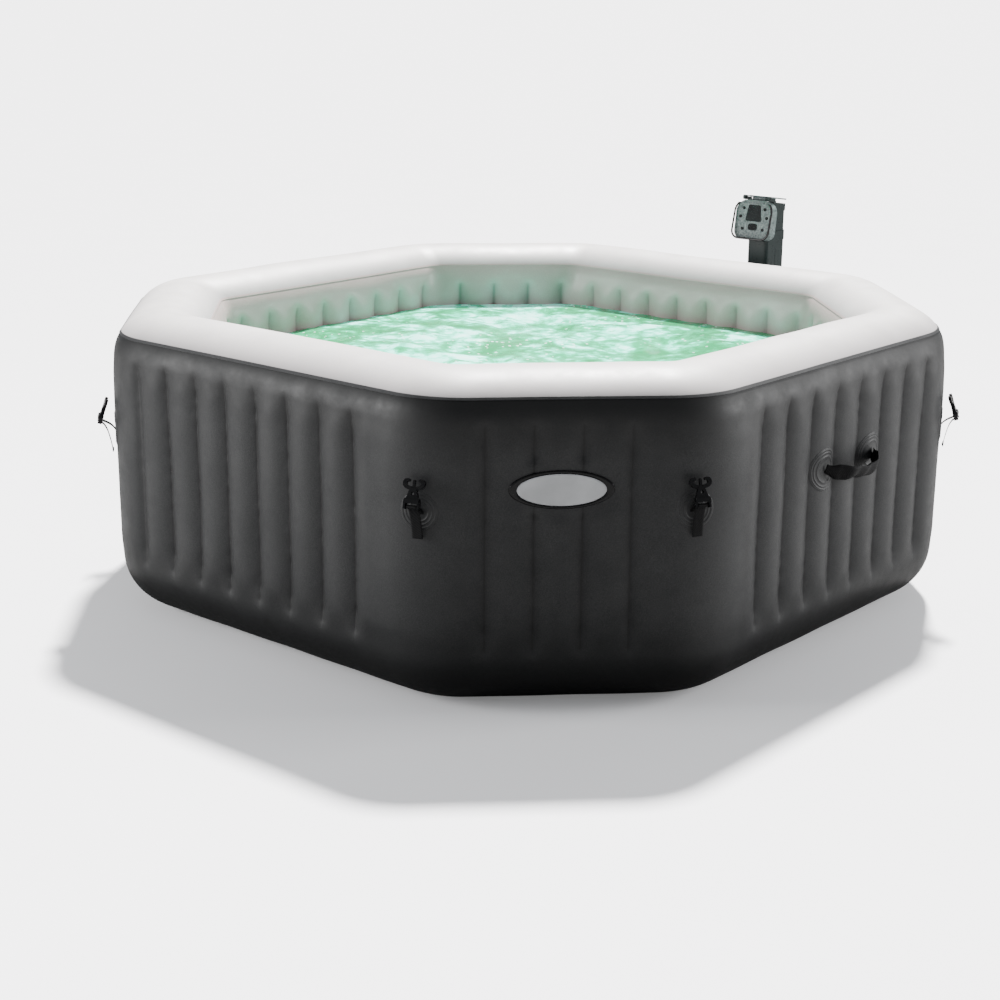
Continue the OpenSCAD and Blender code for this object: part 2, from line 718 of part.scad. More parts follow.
// The head's own frame has its origin on the swivel axis at the foot of the head. Its face looks
// along -X, towards the middle of the tub. The face and the lid are drawn in a tilted frame whose
// X and Z start at the foot of the face.
head_z = post_top + 0.6;
face_foot = [-79, 5.5];              // foot of the face, along X and Z of the head
tray_d = 25;                         // depth of the face's tray
face_h = 112;
low_arc = [38, 24, 23];              // half-width, height and radius of the lower corners of the face
high_arc = [26, 77, 35];             // the same for the upper corners
hinge_at = [6, 119];                 // lid hinge, along X and Z of the tilted frame
lid_lean = 5.5;                      // how far the lid's foot leans away from the face

module head_place() {
    unit_place() translate([post_x, 0, head_z]) children();
}
module tilted() {
    translate([face_foot[0], 0, face_foot[1]]) rotate([0, head_tilt, 0]) children();
}

function arc_points(c, r, from, steps = 8) =
    [for (k = [0:steps]) let (a = from + 90 * k / steps) c + r * [cos(a), sin(a)]];

// The face outline, grown or shrunk by extra.
module face_outline(extra = 0) {
    polygon(concat(arc_points([high_arc[0], high_arc[1]], high_arc[2] + extra, 0),
                   arc_points([-high_arc[0], high_arc[1]], high_arc[2] + extra, 90),
                   arc_points([-low_arc[0], low_arc[1]], low_arc[2] + extra, 180),
                   arc_points([low_arc[0], low_arc[1]], low_arc[2] + extra, 270)));
}

// Extrudes a shape drawn in Y and Z from x to x + l.
module from_face(x, l) { translate([x, 0, 0]) rotate([90, 0, 90]) linear_extrude(l) children(); }

// The side view of the body behind the face, drawn in X and Z and extruded across by w.
function tilt_point(p) = face_foot + [p[0] * cos(head_tilt) + p[1] * sin(head_tilt),
                                      p[1] * cos(head_tilt) - p[0] * sin(head_tilt)];
module body_side(w, inset = 0) {
    low = tilt_point([tray_d + 0.3 + inset, 0]);
    high = tilt_point([tray_d + 0.3 + inset, face_h - inset]);
    back = post_d / 2 - inset;
    translate([0, w / 2, 0]) rotate([90, 0, 0]) linear_extrude(w)
        polygon([[low[0] + 2, inset], [back, inset], [back, high[1] - (back - high[0]) * tan(head_tilt)], high, low]);
}

// The body behind the face: hollow, with a band sunk round its sides and back, two ears that carry
// the lid, and a socket below for the post's spigot.
module head_shell() {
    color(slate) head_place() difference() {
        union() {
            intersection() {
                body_side(post_w + 4);
                translate([post_d / 2 - 60, 0, 0]) rounded_box(120, post_w + 4, 130, 12);
            }
            for (side = [-1, 1]) tilted() translate([0, side * 40 - 4, 0]) {
                translate([hinge_at[0], 0, hinge_at[1]]) along_y(6.5, 8);
                translate([hinge_at[0], 0, hinge_at[1] - 6.5]) cube([30, 8, 9]);
                translate([tray_d + 1, side < 0 ? 0 : -10, hinge_at[1] - 12]) cube([14, 18, 9]);
            }
        }
        difference() {
            body_side(post_w - 4, 4.5);
            cylinder(r = spigot_r + 5, h = 18, $fn = 64);
        }
        band_groove(26, 56);
        for (side = [-1, 1]) tilted() translate([hinge_at[0], side * 40 - 5, hinge_at[1]]) along_y(2.3, 10);
        translate([0, 0, -1]) cylinder(r = spigot_r + 0.3, h = 13.4, $fn = 64);
    }
}

// What is cut away round the body for the sunk band.
module band_groove(z, h) {
    difference() {
        translate([-30, -60, z]) cube([120, 120, h]);
        translate([post_d / 2 - 61.5, 0, z - 1]) rounded_box(118, post_w - 1, h + 2, 10);
    }
}

// The face: a shallow tray with holes for the display and the buttons, and a flat cap over the body.
module head_bezel() {
    color(silver) head_place() tilted() {
        difference() {
            from_face(0, tray_d) face_outline();
            from_face(3, tray_d - 5.5) face_outline(-4);
            from_face(-1, 10) display_outline(0.2);
            from_face(-1, 10) power_outline(0.25);
            for (p = button_at) translate([-1, p[0], p[1]]) along_x(button_r + 0.25, 10);
        }
        translate([tray_d - 5, -24, face_h - 1]) cube([5, 48, 12]);
        translate([63, 0, face_h + 9.8]) rounded_box(94, 76, 4, 12);
    }
}

module display_outline(extra = 0) {
    polygon(round_hull([[21.5, 57], [15.5, 94], [-15.5, 94], [-21.5, 57]], 5 + extra));
}

module display_lens() {
    color([0.05, 0.09, 0.09]) head_place() tilted() {
        from_face(-0.8, 3.8) display_outline();
        from_face(3.05, 2) display_outline(2.5);
        translate([2.9, -3, 66]) cube([0.3, 6, 6]);
    }
}

module power_outline(extra = 0) {
    polygon(round_hull([[8, 34], [8, 39], [-8, 39], [-8, 34]], 7 + extra));
}

module power_button() {
    color(black) head_place() tilted() {
        from_face(-1.6, 6) power_outline();
        from_face(3.3, 1.5) power_outline(1.4);
    }
}

// A round key: a cap in its hole, and a flange behind the face that keeps it in.
button_r = 4.6;
button_at = [[35, 88], [44, 64], [34, 30], [-35, 88], [-44, 64], [-34, 30]];

module function_button(k) {
    at = button_at[k - 1];
    color(charcoal) head_place() tilted() translate([0, at[0], at[1]]) {
        translate([-1.6, 0, 0]) along_x(button_r, 6);
        translate([3.3, 0, 0]) along_x(button_r + 1.4, 1.5);
    }
}

// Clear lid in front of the face. It hangs from trunnions in the body's ears, and its foot leans out.
module splash_lid() {
    color([0.75, 0.82, 0.82, 0.5]) head_place() tilted()
        translate([hinge_at[0], 0, hinge_at[1]]) rotate([0, lid_lean, 0]) translate([0, 0, -hinge_at[1]]) {
            difference() {
                from_face(-8.6, 2.4) face_outline(2.5);
                translate([-20, -80, 103]) cube([40, 160, 40]);
            }
            translate([-8.6, -33, 102]) cube([2.4, 66, 19]);
            translate([-8.6, -33, 116]) cube([8.6, 66, 5]);
            translate([0, -34, hinge_at[1]]) along_y(6, 68);
            for (side = [-1, 1]) translate([0, side < 0 ? -43 : 34 - eps, hinge_at[1]])
                along_y(2, 9 + eps);
            translate([-12, -14, 2]) cube([4, 28, 4]);
        }
}

// ---- Nodes -----------------------------------------------------------------

base_sheet();
outer_wall();
top_ring();
inner_wall();
tub_floor();
wall_webs();
bubble_channel();
jet_nozzles();
jet_manifold();
weld_patches();
for (k = [1:8]) {
    strap_place(k) strap();
    strap_place(k) buckle();
}
carry_handle(1);  // carry_handle_1
carry_handle(2);  // carry_handle_2
inflation_valve();
inflation_cap();
drain_valve();
drain_cap();
wall_unions();
union_nuts();
suction_grids();
unit_housing();
unit_cover();
unit_feet();
unit_screws();
pump_body();
pump_impeller();
heater_tube();
air_blower();
blower_wheel();
water_pipes();
control_board();
filter_cartridge();
filter_cap();
control_post();
head_shell();
head_bezel();
display_lens();
power_button();
for (k = [1:6]) function_button(k);
splash_lid();
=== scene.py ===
"""Looks of an octagonal inflatable hot tub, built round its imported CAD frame. Metres, +Z up."""

import json
import math

import bpy
import numpy as np
from mathutils import Matrix, Vector
from mathutils.geometry import tessellate_polygon


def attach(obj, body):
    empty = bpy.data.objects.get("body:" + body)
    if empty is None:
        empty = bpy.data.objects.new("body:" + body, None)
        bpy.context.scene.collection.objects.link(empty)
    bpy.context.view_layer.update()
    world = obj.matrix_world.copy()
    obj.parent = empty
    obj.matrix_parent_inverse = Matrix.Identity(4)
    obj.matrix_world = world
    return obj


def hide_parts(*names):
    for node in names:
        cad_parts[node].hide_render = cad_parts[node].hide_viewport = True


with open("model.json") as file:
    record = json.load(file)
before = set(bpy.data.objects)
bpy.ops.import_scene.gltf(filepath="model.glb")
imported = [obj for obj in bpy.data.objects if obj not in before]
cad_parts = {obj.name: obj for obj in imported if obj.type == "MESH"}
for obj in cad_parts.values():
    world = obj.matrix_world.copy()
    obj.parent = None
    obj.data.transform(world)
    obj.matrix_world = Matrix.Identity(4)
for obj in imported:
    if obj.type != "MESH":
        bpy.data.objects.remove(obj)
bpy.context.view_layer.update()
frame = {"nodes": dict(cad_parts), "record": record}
ROOT = "tub_and_unit"

# ---------------------------------------------------------------- camera

CAM_AT = Vector((-0.3934, -4.4377, 1.4539))
CAM_YAW, CAM_PITCH, CAM_ROLL = -0.0742, 0.2791, 0.0066
CAM_LENS = 65.435


def make_camera():
    forward = Vector((-math.sin(CAM_YAW) * math.cos(CAM_PITCH), math.cos(CAM_YAW) * math.cos(CAM_PITCH),
                      -math.sin(CAM_PITCH)))
    right = Vector((math.cos(CAM_YAW), math.sin(CAM_YAW), 0))
    up = right.cross(forward)
    right, up = (right * math.cos(CAM_ROLL) + up * math.sin(CAM_ROLL),
                 up * math.cos(CAM_ROLL) - right * math.sin(CAM_ROLL))
    data = bpy.data.cameras.new("camera")
    data.lens = CAM_LENS
    data.sensor_width = 36.0
    data.clip_end = 200.0
    cam = bpy.data.objects.new("camera", data)
    cam.matrix_world = Matrix.Translation(CAM_AT) @ Matrix((right, up, -forward)).transposed().to_4x4()
    bpy.context.scene.collection.objects.link(cam)
    bpy.context.scene.camera = cam


make_camera()

# ---------------------------------------------------------------- materials


class Nodes:
    """A material's node tree with short calls for the nodes used here."""

    def __init__(self, name):
        self.mat = bpy.data.materials.new(name)
        self.mat.use_nodes = True
        self.tree = self.mat.node_tree
        self.bsdf = self.tree.nodes["Principled BSDF"]
        self.coord = self.tree.nodes.new("ShaderNodeTexCoord").outputs["Object"]

    def new(self, kind, **settings):
        node = self.tree.nodes.new(kind)
        for key, value in settings.items():
            setattr(node, key, value)
        return node

    def link(self, a, b):
        self.tree.links.new(a, b)

    def noise(self, scale, detail=3.0, rough=0.5, stretch=None, distortion=0.0):
        node = self.new("ShaderNodeTexNoise")
        node.inputs["Scale"].default_value = scale
        node.inputs["Detail"].default_value = detail
        node.inputs["Roughness"].default_value = rough
        node.inputs["Distortion"].default_value = distortion
        self.link(self.mapped(stretch), node.inputs["Vector"])
        return node.outputs["Fac"]

    def mapped(self, stretch):
        if stretch is None:
            return self.coord
        node = self.new("ShaderNodeMapping")
        node.inputs["Scale"].default_value = stretch
        self.link(self.coord, node.inputs["Vector"])
        return node.outputs["Vector"]

    def voronoi(self, scale):
        node = self.new("ShaderNodeTexVoronoi", feature="F1")
        node.inputs["Scale"].default_value = scale
        self.link(self.coord, node.inputs["Vector"])
        return node.outputs["Distance"]

    def ramp(self, value, stops):
        node = self.new("ShaderNodeValToRGB")
        elements = node.color_ramp.elements
        while len(elements) < len(stops):
            elements.new(0.5)
        for element, (at, colour) in zip(elements, stops):
            element.position = at
            element.color = (*colour, 1.0)
        self.link(value, node.inputs["Fac"])
        return node.outputs["Color"]

    def math(self, operation, a, b=None):
        node = self.new("ShaderNodeMath", operation=operation)
        for socket, value in zip(node.inputs, (a, b)):
            if value is None:
                continue
            if isinstance(value, (int, float)):
                socket.default_value = value
            else:
                self.link(value, socket)
        return node.outputs["Value"]

    def span(self, value, low, high, to_low=0.0, to_high=1.0):
        node = self.new("ShaderNodeMapRange")
        self.link(value, node.inputs["Value"])
        for key, number in (("From Min", low), ("From Max", high), ("To Min", to_low), ("To Max", to_high)):
            node.inputs[key].default_value = number
        return node.outputs["Result"]

    def mix(self, factor, a, b):
        node = self.new("ShaderNodeMix", data_type="RGBA", blend_type="MIX")
        sockets = [s for s in node.inputs if s.type == "RGBA"]
        factor_socket = node.inputs["Factor"]
        if isinstance(factor, (int, float)):
            factor_socket.default_value = factor
        else:
            self.link(factor, factor_socket)
        for socket, value in zip(sockets, (a, b)):
            if isinstance(value, tuple):
                socket.default_value = (*value, 1.0)
            else:
                self.link(value, socket)
        return [s for s in node.outputs if s.type == "RGBA"][0]

    def bump(self, height, strength=0.3, distance=0.001, normal=None):
        node = self.new("ShaderNodeBump")
        node.inputs["Strength"].default_value = strength
        node.inputs["Distance"].default_value = distance
        self.link(height, node.inputs["Height"])
        if normal is not None:
            self.link(normal, node.inputs["Normal"])
        self.link(node.outputs["Normal"], self.bsdf.inputs["Normal"])
        return node.outputs["Normal"]

    def height_z(self):
        node = self.new("ShaderNodeSeparateXYZ")
        self.link(self.coord, node.inputs["Vector"])
        return node.outputs["Z"]

    def set(self, **values):
        for key, value in values.items():
            socket = self.bsdf.inputs[key.replace("_", " ")]
            if isinstance(value, (int, float)):
                socket.default_value = value
            elif isinstance(value, tuple):
                socket.default_value = (*value, 1.0) if len(value) == 3 else value
            else:
                self.link(value, socket)
        return self.mat


def pvc(name, dark, light, rough, grain=0.25, foot_and_top_shade=False, specular=0.5, crease=0.0,
        rim_lower_shade=False):
    """Laminated sheet: fine embossed grain, faint clouding and scuffs in the gloss. It can also carry painted
    shade in its creases, towards its foot and top, and on a rim's lower half.
    """
    n = Nodes(name)
    cloud = n.noise(5.0, 4.0, 0.6)
    speck = n.noise(420.0, 2.0, 0.7)
    tone = n.mix(n.span(speck, 0.35, 0.7), dark, light)
    tone = n.mix(n.span(cloud, 0.3, 0.7, 0.0, 0.45), tone, tuple(c * 0.8 for c in dark))
    if rim_lower_shade:
        # Painted shade: the rim's lower half is drawn darker, towards the walls.
        lower_shade = n.span(n.height_z(), 0.655, 0.706, 0.95, 0.0)
        tone = n.mix(lower_shade, tone, (0.30, 0.283, 0.29))
    if foot_and_top_shade:
        # Painted shade: darker towards the foot, where the wall turns in towards the floor.
        low = n.span(n.height_z(), 0.02, 0.22, 1.0, 0.0)
        tone = n.mix(n.math("MULTIPLY", low, 0.9), tone, tuple(c * 0.12 for c in dark))
        # Painted shade: darker towards the top of the wall, below the rim.
        high = n.span(n.height_z(), 0.53, 0.645)
        tone = n.mix(n.math("MULTIPLY", high, 0.88), tone, tuple(c * 0.12 for c in dark))
    # Painted shade: the colour darkens where the mesh's crease attribute marks the creases along the welds.
    if crease:
        fold = n.new("ShaderNodeAttribute", attribute_name="crease").outputs["Fac"]
        tone = n.mix(n.math("MULTIPLY", fold, crease), tone, tuple(c * 0.08 for c in dark))
    scuff = n.noise(14.0, 6.0, 0.65)
    n.set(Base_Color=tone, Roughness=n.span(scuff, 0.3, 0.7, rough - 0.07, rough + 0.09),
          Specular_IOR_Level=specular)
    fine = n.bump(n.noise(900.0, 2.0, 0.6), grain, 0.0006)
    n.bump(n.noise(38.0, 4.0, 0.5), 0.10, 0.002, fine)
    return n.mat


def plastic(name, colour, rough, texture=0.15, scale=1400.0, specular=0.5):
    """Moulded plastic: spark-eroded texture, slight tone drift and handling marks in the gloss."""
    n = Nodes(name)
    drift = n.noise(18.0, 3.0)
    tone = n.mix(n.span(drift, 0.3, 0.7), tuple(c * 0.88 for c in colour),
                 tuple(min(1, c * 1.1) for c in colour))
    marks = n.noise(60.0, 5.0, 0.7)
    n.set(Base_Color=tone, Roughness=n.span(marks, 0.3, 0.75, rough - 0.06, rough + 0.1),
          Specular_IOR_Level=specular)
    n.bump(n.noise(scale, 2.0, 0.5), texture, 0.0004)
    return n.mat


def webbing(name, colour):
    """Flat woven webbing: a fine twill of raised yarns."""
    n = Nodes(name)
    across = n.new("ShaderNodeTexWave", wave_type="BANDS", bands_direction="Z")
    across.inputs["Scale"].default_value = 220.0
    across.inputs["Distortion"].default_value = 1.5
    n.link(n.coord, across.inputs["Vector"])
    along = n.new("ShaderNodeTexWave", wave_type="BANDS", bands_direction="DIAGONAL")
    along.inputs["Scale"].default_value = 150.0
    n.link(n.coord, along.inputs["Vector"])
    weave = n.math("MULTIPLY", across.outputs["Fac"], along.outputs["Fac"])
    tone = n.mix(weave, tuple(c * 0.6 for c in colour), tuple(c * 1.7 for c in colour))
    n.set(Base_Color=tone, Roughness=n.span(weave, 0.0, 1.0, 0.75, 0.55), Specular_IOR_Level=0.18)
    n.bump(weave, 0.5, 0.0006)
    return n.mat


def metal(name, colour, rough):
    """Brushed metal with fine lines round the part."""
    n = Nodes(name)
    lines = n.noise(240.0, 3.0, 0.6, (1, 1, 0.05))
    n.set(Base_Color=n.mix(lines, tuple(c * 0.85 for c in colour), colour), Metallic=1.0,
          Roughness=n.span(lines, 0.3, 0.7, rough - 0.05, rough + 0.12))
    n.bump(lines, 0.1, 0.0003)
    return n.mat


SQUARE = math.sqrt(0.5)


def clear(name):
    """Clear plastic, faintly hazed, with painted shade on the edges that turn sideways, where it is seen edge
    on.
    """
    n = Nodes(name)
    haze = n.noise(45.0, 5.0, 0.6)
    facing = n.new("ShaderNodeVectorMath", operation="DOT_PRODUCT")
    n.link(n.new("ShaderNodeTexCoord").outputs["Normal"], facing.inputs[0])
    facing.inputs[1].default_value = (SQUARE, SQUARE, 0.0)
    # Painted shade: faces turned sideways from the lid's facing direction are drawn darker and more opaque.
    edge = n.math("LESS_THAN", n.math("ABSOLUTE", facing.outputs["Value"]), 0.7)
    n.set(Base_Color=(0.02, 0.03, 0.03), Alpha=n.span(edge, 0.0, 1.0, 0.06, 0.9), Specular_IOR_Level=0.1,
          Roughness=n.span(haze, 0.3, 0.7, 0.04, 0.14))
    n.bump(haze, 0.05, 0.0005)
    return n.mat


def mottled(name, dark, light, rough):
    """Satin silver paint over a moulded texture, uneven in tone."""
    n = Nodes(name)
    patch = n.noise(170.0, 4.0, 0.7)
    n.set(Base_Color=n.mix(n.span(patch, 0.36, 0.64), dark, light), Specular_IOR_Level=0.2,
          Roughness=n.span(n.noise(60.0, 5.0, 0.7), 0.3, 0.75, rough - 0.06, rough + 0.12))
    n.bump(n.noise(1500.0, 2.0, 0.5), 0.12, 0.0004)
    return n.mat


def water_material():
    """Bubbling water: green depths, pale green shallows and drifts of white-mint foam, with a faint painted
    glow in the same colours.
    """
    n = Nodes("water")
    broad = n.noise(3.4, 7.0, 0.62, (1.0, 1.25, 1.0), 0.7)
    fine = n.noise(17.0, 6.0, 0.68, None, 0.4)
    spots = n.voronoi(34.0)
    foam = n.math("ADD", n.math("MULTIPLY", broad, 0.72), n.math("MULTIPLY", fine, 0.34))
    foam = n.math("SUBTRACT", foam, n.math("MULTIPLY", spots, 0.10))
    sheet = n.ramp(foam, [(0.40, (0.006, 0.26, 0.09)), (0.465, (0.015, 0.43, 0.19)),
                          (0.505, (0.07, 0.74, 0.48)), (0.545, (0.28, 0.97, 0.80)),
                          (0.66, (0.72, 1.0, 0.96))])
    beads = n.math("LESS_THAN", n.voronoi(46.0), 0.17)
    beads = n.math("MULTIPLY", beads, n.span(n.noise(6.0, 3.0), 0.48, 0.56, 0.0, 0.85))
    sheet = n.mix(beads, sheet, (0.80, 1.0, 0.96))
    # Painted glow: the water gives off light in its own colours, though it is no lamp.
    n.set(Base_Color=sheet, Roughness=n.span(foam, 0.48, 0.60, 0.10, 0.45), IOR=1.33, Specular_IOR_Level=0.3,
          Emission_Color=sheet, Emission_Strength=0.22)
    n.bump(foam, 0.5, 0.02)
    return n.mat


# The wall and inner sheets get painted shade in their weld creases, the wall also towards its foot and top,
# and the rim on its lower half. The water has a painted glow.
MAT = {
    "wall": pvc("pvc_charcoal", (0.010, 0.0105, 0.0115), (0.025, 0.0255, 0.026), 0.52, foot_and_top_shade=True,
                specular=0.33, crease=0.9),
    "rim": pvc("pvc_ivory", (0.60, 0.575, 0.56), (0.67, 0.65, 0.635), 0.46, grain=0.10, rim_lower_shade=True),
    "inner": pvc("pvc_inner", (0.39, 0.305, 0.30), (0.46, 0.37, 0.36), 0.42, grain=0.10, crease=0.5),
    "patch": pvc("pvc_black", (0.008, 0.008, 0.009), (0.016, 0.016, 0.017), 0.45),
    "disc": pvc("pvc_patch", (0.010, 0.0105, 0.0115), (0.025, 0.0255, 0.026), 0.50, specular=0.36),
    "webbing": webbing("webbing_black", (0.0035, 0.0035, 0.004)),
    "black": plastic("plastic_black", (0.0028, 0.0028, 0.0032), 0.24, specular=0.22),
    "key": plastic("plastic_key", (0.002, 0.0025, 0.0025), 0.5, specular=0.02),
    "charcoal": plastic("plastic_charcoal", (0.018, 0.019, 0.020), 0.42),
    "unit": plastic("plastic_slate", (0.0085, 0.0165, 0.016), 0.30, 0.25, 900.0, 0.16),
    "silver": mottled("plastic_silver", (0.045, 0.068, 0.066), (0.20, 0.245, 0.24), 0.40),
    "grey": plastic("plastic_grey", (0.42, 0.43, 0.43), 0.45),
    "cream": plastic("plastic_cream", (0.62, 0.61, 0.57), 0.42),
    "steel": metal("steel_brushed", (0.62, 0.62, 0.62), 0.30),
    "display": plastic("display_dark", (0.0015, 0.0045, 0.0044), 0.16, 0.02, 900.0, 0.01),
    "board": plastic("circuit_green", (0.015, 0.11, 0.045), 0.45, 0.4, 500.0),
    "paper": plastic("filter_paper", (0.70, 0.70, 0.66), 0.85, 0.5, 260.0),
    "clear": clear("clear_plastic"),
    "badge": plastic("badge_grey", (0.42, 0.43, 0.44), 0.36, 0.05),
    "water": water_material(),
}
NODE_LOOKS = {"power_button": "key", **{f"button_{k}": "key" for k in range(1, 7)}}
SLOT_LOOKS = {
    "dark_pvc": "wall", "cream_pvc": "inner", "cream_plastic": "cream", "black_pvc": "patch",
    "webbing": "webbing", "black_plastic": "black", "charcoal_plastic": "charcoal", "steel": "steel",
    "grey_plastic": "grey", "silver_plastic": "silver", "display": "display", "clear_plastic": "clear",
    "circuit": "board", "filter_paper": "paper", "unit_plastic": "unit",
}


def paint_cad_nodes():
    for row in frame["record"]["subparts"]:
        mesh = frame["nodes"][row["node"]].data
        mesh.materials.clear()
        mesh.materials.append(MAT[NODE_LOOKS.get(row["node"], SLOT_LOOKS[row["material_slot"]])])


paint_cad_nodes()


def round_edges(nodes, width):
    for name in nodes:
        bevel = frame["nodes"][name].modifiers.new("edges", "BEVEL")
        bevel.width = width
        bevel.segments = 2
        bevel.limit_method = "ANGLE"
        bevel.angle_limit = math.radians(35)


round_edges(["unit_housing", "unit_cover", "control_post", "head_shell", "filter_cap"], 0.0010)

# ---------------------------------------------------------------- plan of the tub

SPAN = (0.9845, 0.9045)         # distance of the short and of the long sides from the middle
CORNER_R, INNER_R = 0.222, 0.060
CHAMBER = 0.236
TOP, DOME_H = 0.710, 0.100
FOOT_IN, FOOT_H = 0.137, 0.131
SEAM = math.radians(32)
WELD_PITCH = 0.098
WELD_MID = (-0.020, -0.025, -0.020, 0.001, -0.020, -0.048, -0.020, 0.027)
WELD_Z = (0.140, 0.612)


def half_length(i, off):
    """Half of the straight part of side i, for the plan set in by off."""
    r = max(CORNER_R - off, INNER_R)
    a, b = SPAN[i % 2] - off - r, SPAN[(i + 1) % 2] - off - r
    return (b - a * SQUARE) / SQUARE


def weld_places(i):
    count = 4 if i % 2 == 0 else 8
    return [WELD_MID[i] + WELD_PITCH * (k - (count - 1) / 2) for k in range(count)]


def stations(off, step):
    """Points round the plan as (side, kind, place, distance along to the nearest weld).
    Kind 0 is on a straight part at s; kind 1 is in the corner after the side, at a share of its angle."""
    r = max(CORNER_R - off, INNER_R)
    arc = r * math.pi / 4
    out = []
    for i in range(8):
        h = half_length(i, off)
        marks = [-h, *[w for w in weld_places(i) if abs(w) < h - 0.006], h]
        for a, b in zip(marks, marks[1:]):
            count = max(2, round((b - a) / step))
            steps = [a + (b - a) * k / count for k in range(count)]
            if off == 0.0 and a > -h:
                steps.insert(1, a + 0.0022)
            if off == 0.0 and b < h:
                steps.append(b - 0.0022)
            for s in steps:
                out.append((i, 0, s, min(abs(s - w) for w in weld_places(i))))
        count = max(6, round(arc / step))
        before = max(0.0, h - weld_places(i)[-1])
        after = max(0.0, weld_places((i + 1) % 8)[0] + half_length(i + 1, off))
        for k in range(count):
            g = k / count
            out.append((i, 1, g, min(before + g * arc, after + (1 - g) * arc)))
    return out


def plan_ring(points, off, built_off):
    """Positions and outward normals in plan, at set-in off, of the stations that were made at built_off."""
    r = max(CORNER_R - off, INNER_R)
    xy, normals = [], []
    for i, kind, place, _ in points:
        t = math.radians(45 * i)
        h = half_length(i, off)
        if kind == 0:
            s = place * h / half_length(i, built_off)
            n = (math.cos(t), math.sin(t))
            d = SPAN[i % 2] - off
            xy.append((d * n[0] - s * n[1], d * n[1] + s * n[0]))
        else:
            a = t + math.radians(45 * place)
            n = (math.cos(a), math.sin(a))
            c = SPAN[i % 2] - off - r
            centre = (c * math.cos(t) - h * math.sin(t), c * math.sin(t) + h * math.cos(t))
            xy.append((centre[0] + r * n[0], centre[1] + r * n[1]))
        normals.append(n)
    return np.array(xy), np.array(normals)


def smooth(x, low, high):
    t = np.clip((x - low) / (high - low), 0, 1)
    return t * t * (3 - 2 * t)


def wave_noise(x, y, z, seed, count=24, low=2.0, high=14.0):
    """Smooth noise as a sum of plane waves, from -1 to 1 or so. The same each run."""
    rng = np.random.default_rng(seed)
    total = np.zeros(np.broadcast(x, y, z).shape)
    for _ in range(count):
        d = rng.normal(size=3)
        d /= np.linalg.norm(d)
        f = rng.uniform(low, high) * 2 * math.pi
        total += np.sin(f * (d[0] * x + d[1] * y + d[2] * z) + rng.uniform(0, 2 * math.pi))
    return total / math.sqrt(count)


def add_object(name, verts, faces, material, body=ROOT, replaced=(), smooth_faces=True,
               crease=None):
    mesh = bpy.data.meshes.new(name)
    mesh.from_pydata([tuple(v) for v in verts], [], [tuple(f) for f in faces])
    mesh.update()
    if smooth_faces:
        mesh.shade_smooth()
    mesh.materials.append(material)
    if crease is not None:
        layer = mesh.attributes.new("crease", "FLOAT", "POINT")
        layer.data.foreach_set("value", np.asarray(crease, np.float32))
    obj = bpy.data.objects.new(name, mesh)
    bpy.context.scene.collection.objects.link(obj)
    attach(obj, body)
    if replaced:
        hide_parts(*replaced)
    return obj


def grid_faces(rows, columns, closed=True, flip=False):
    last = columns if closed else columns - 1
    j, i = np.meshgrid(np.arange(rows - 1), np.arange(last), indexing="ij")
    k = (i + 1) % columns
    quads = np.stack([j * columns + i, j * columns + k, (j + 1) * columns + k, (j + 1) * columns + i], -1)
    quads = quads.reshape(-1, 4)
    return quads[:, ::-1] if flip else quads


def swept(points, built_off, line, push):
    """Rows of positions: line is [(set-in, z, normal out, normal up)], push(distance, xy, z, row) is metres
    along the surface's normal."""
    verts = []
    distance = np.array([p[3] for p in points])
    for row, (off, z, n_out, n_up) in enumerate(line):
        xy, normals = plan_ring(points, off, built_off)
        d = push(distance, xy, z, row)
        x = xy[:, 0] + d * n_out * normals[:, 0]
        y = xy[:, 1] + d * n_out * normals[:, 1]
        verts.append(np.stack([x, y, np.maximum(z + d * n_up, 0.0002)], 1))
    return np.concatenate(verts)


def crease_shade_marks(points, line, low, high, reach):
    """How deep in a crease each vertex is, from 0 to 1, along welds that run from low to high; the walls'
    materials paint shade in the creases by it.
    """
    distance = np.array([p[3] for p in points])
    rows = []
    for _, z, _, _ in line:
        live = smooth(z, low - 0.004, low + 0.006) * (1 - smooth(z, high - 0.006, high + 0.004))
        rows.append(live * np.exp(-distance / reach))
    return np.concatenate(rows)


def arch(distance, height):
    """The bulge of a bay between two welds: a round arch that meets its neighbour in a crease."""
    t = np.clip(distance / (WELD_PITCH / 2), 0, 1)
    return height * (1 - (1 - t) ** 2)


# ---------------------------------------------------------------- walls

OUTER_STEP = 0.0066


def foot_line(count):
    out = []
    for k in range(count):
        a = math.radians(90 - 90 * k / count)
        out.append((FOOT_IN - FOOT_IN * math.cos(a), FOOT_H - FOOT_H * math.sin(a),
                    math.cos(a), -math.sin(a)))
    return out


def dome_line(start, end, count):
    out = []
    for k in range(count + 1):
        a = start + (end - start) * k / count
        out.append((CHAMBER / 2 - CHAMBER / 2 * math.cos(a), TOP - DOME_H + DOME_H * math.sin(a),
                    math.cos(a), math.sin(a)))
    return out


# The front wall is held flat behind the badge, and the far one behind the valve's cap.
BADGE_X, BADGE_Z = -0.014, 0.481
CAP_X, CAP_Z = -0.078, 0.335


def flat_spot(xy, z, centre, size, edge):
    """1 on an oval round centre, falling to 0 over edge, a share of its size."""
    reach = np.hypot((xy[:, 0] - centre[0]) / size[0], (z - centre[1]) / size[1])
    return smooth(1.25 - reach, 0.0, edge)


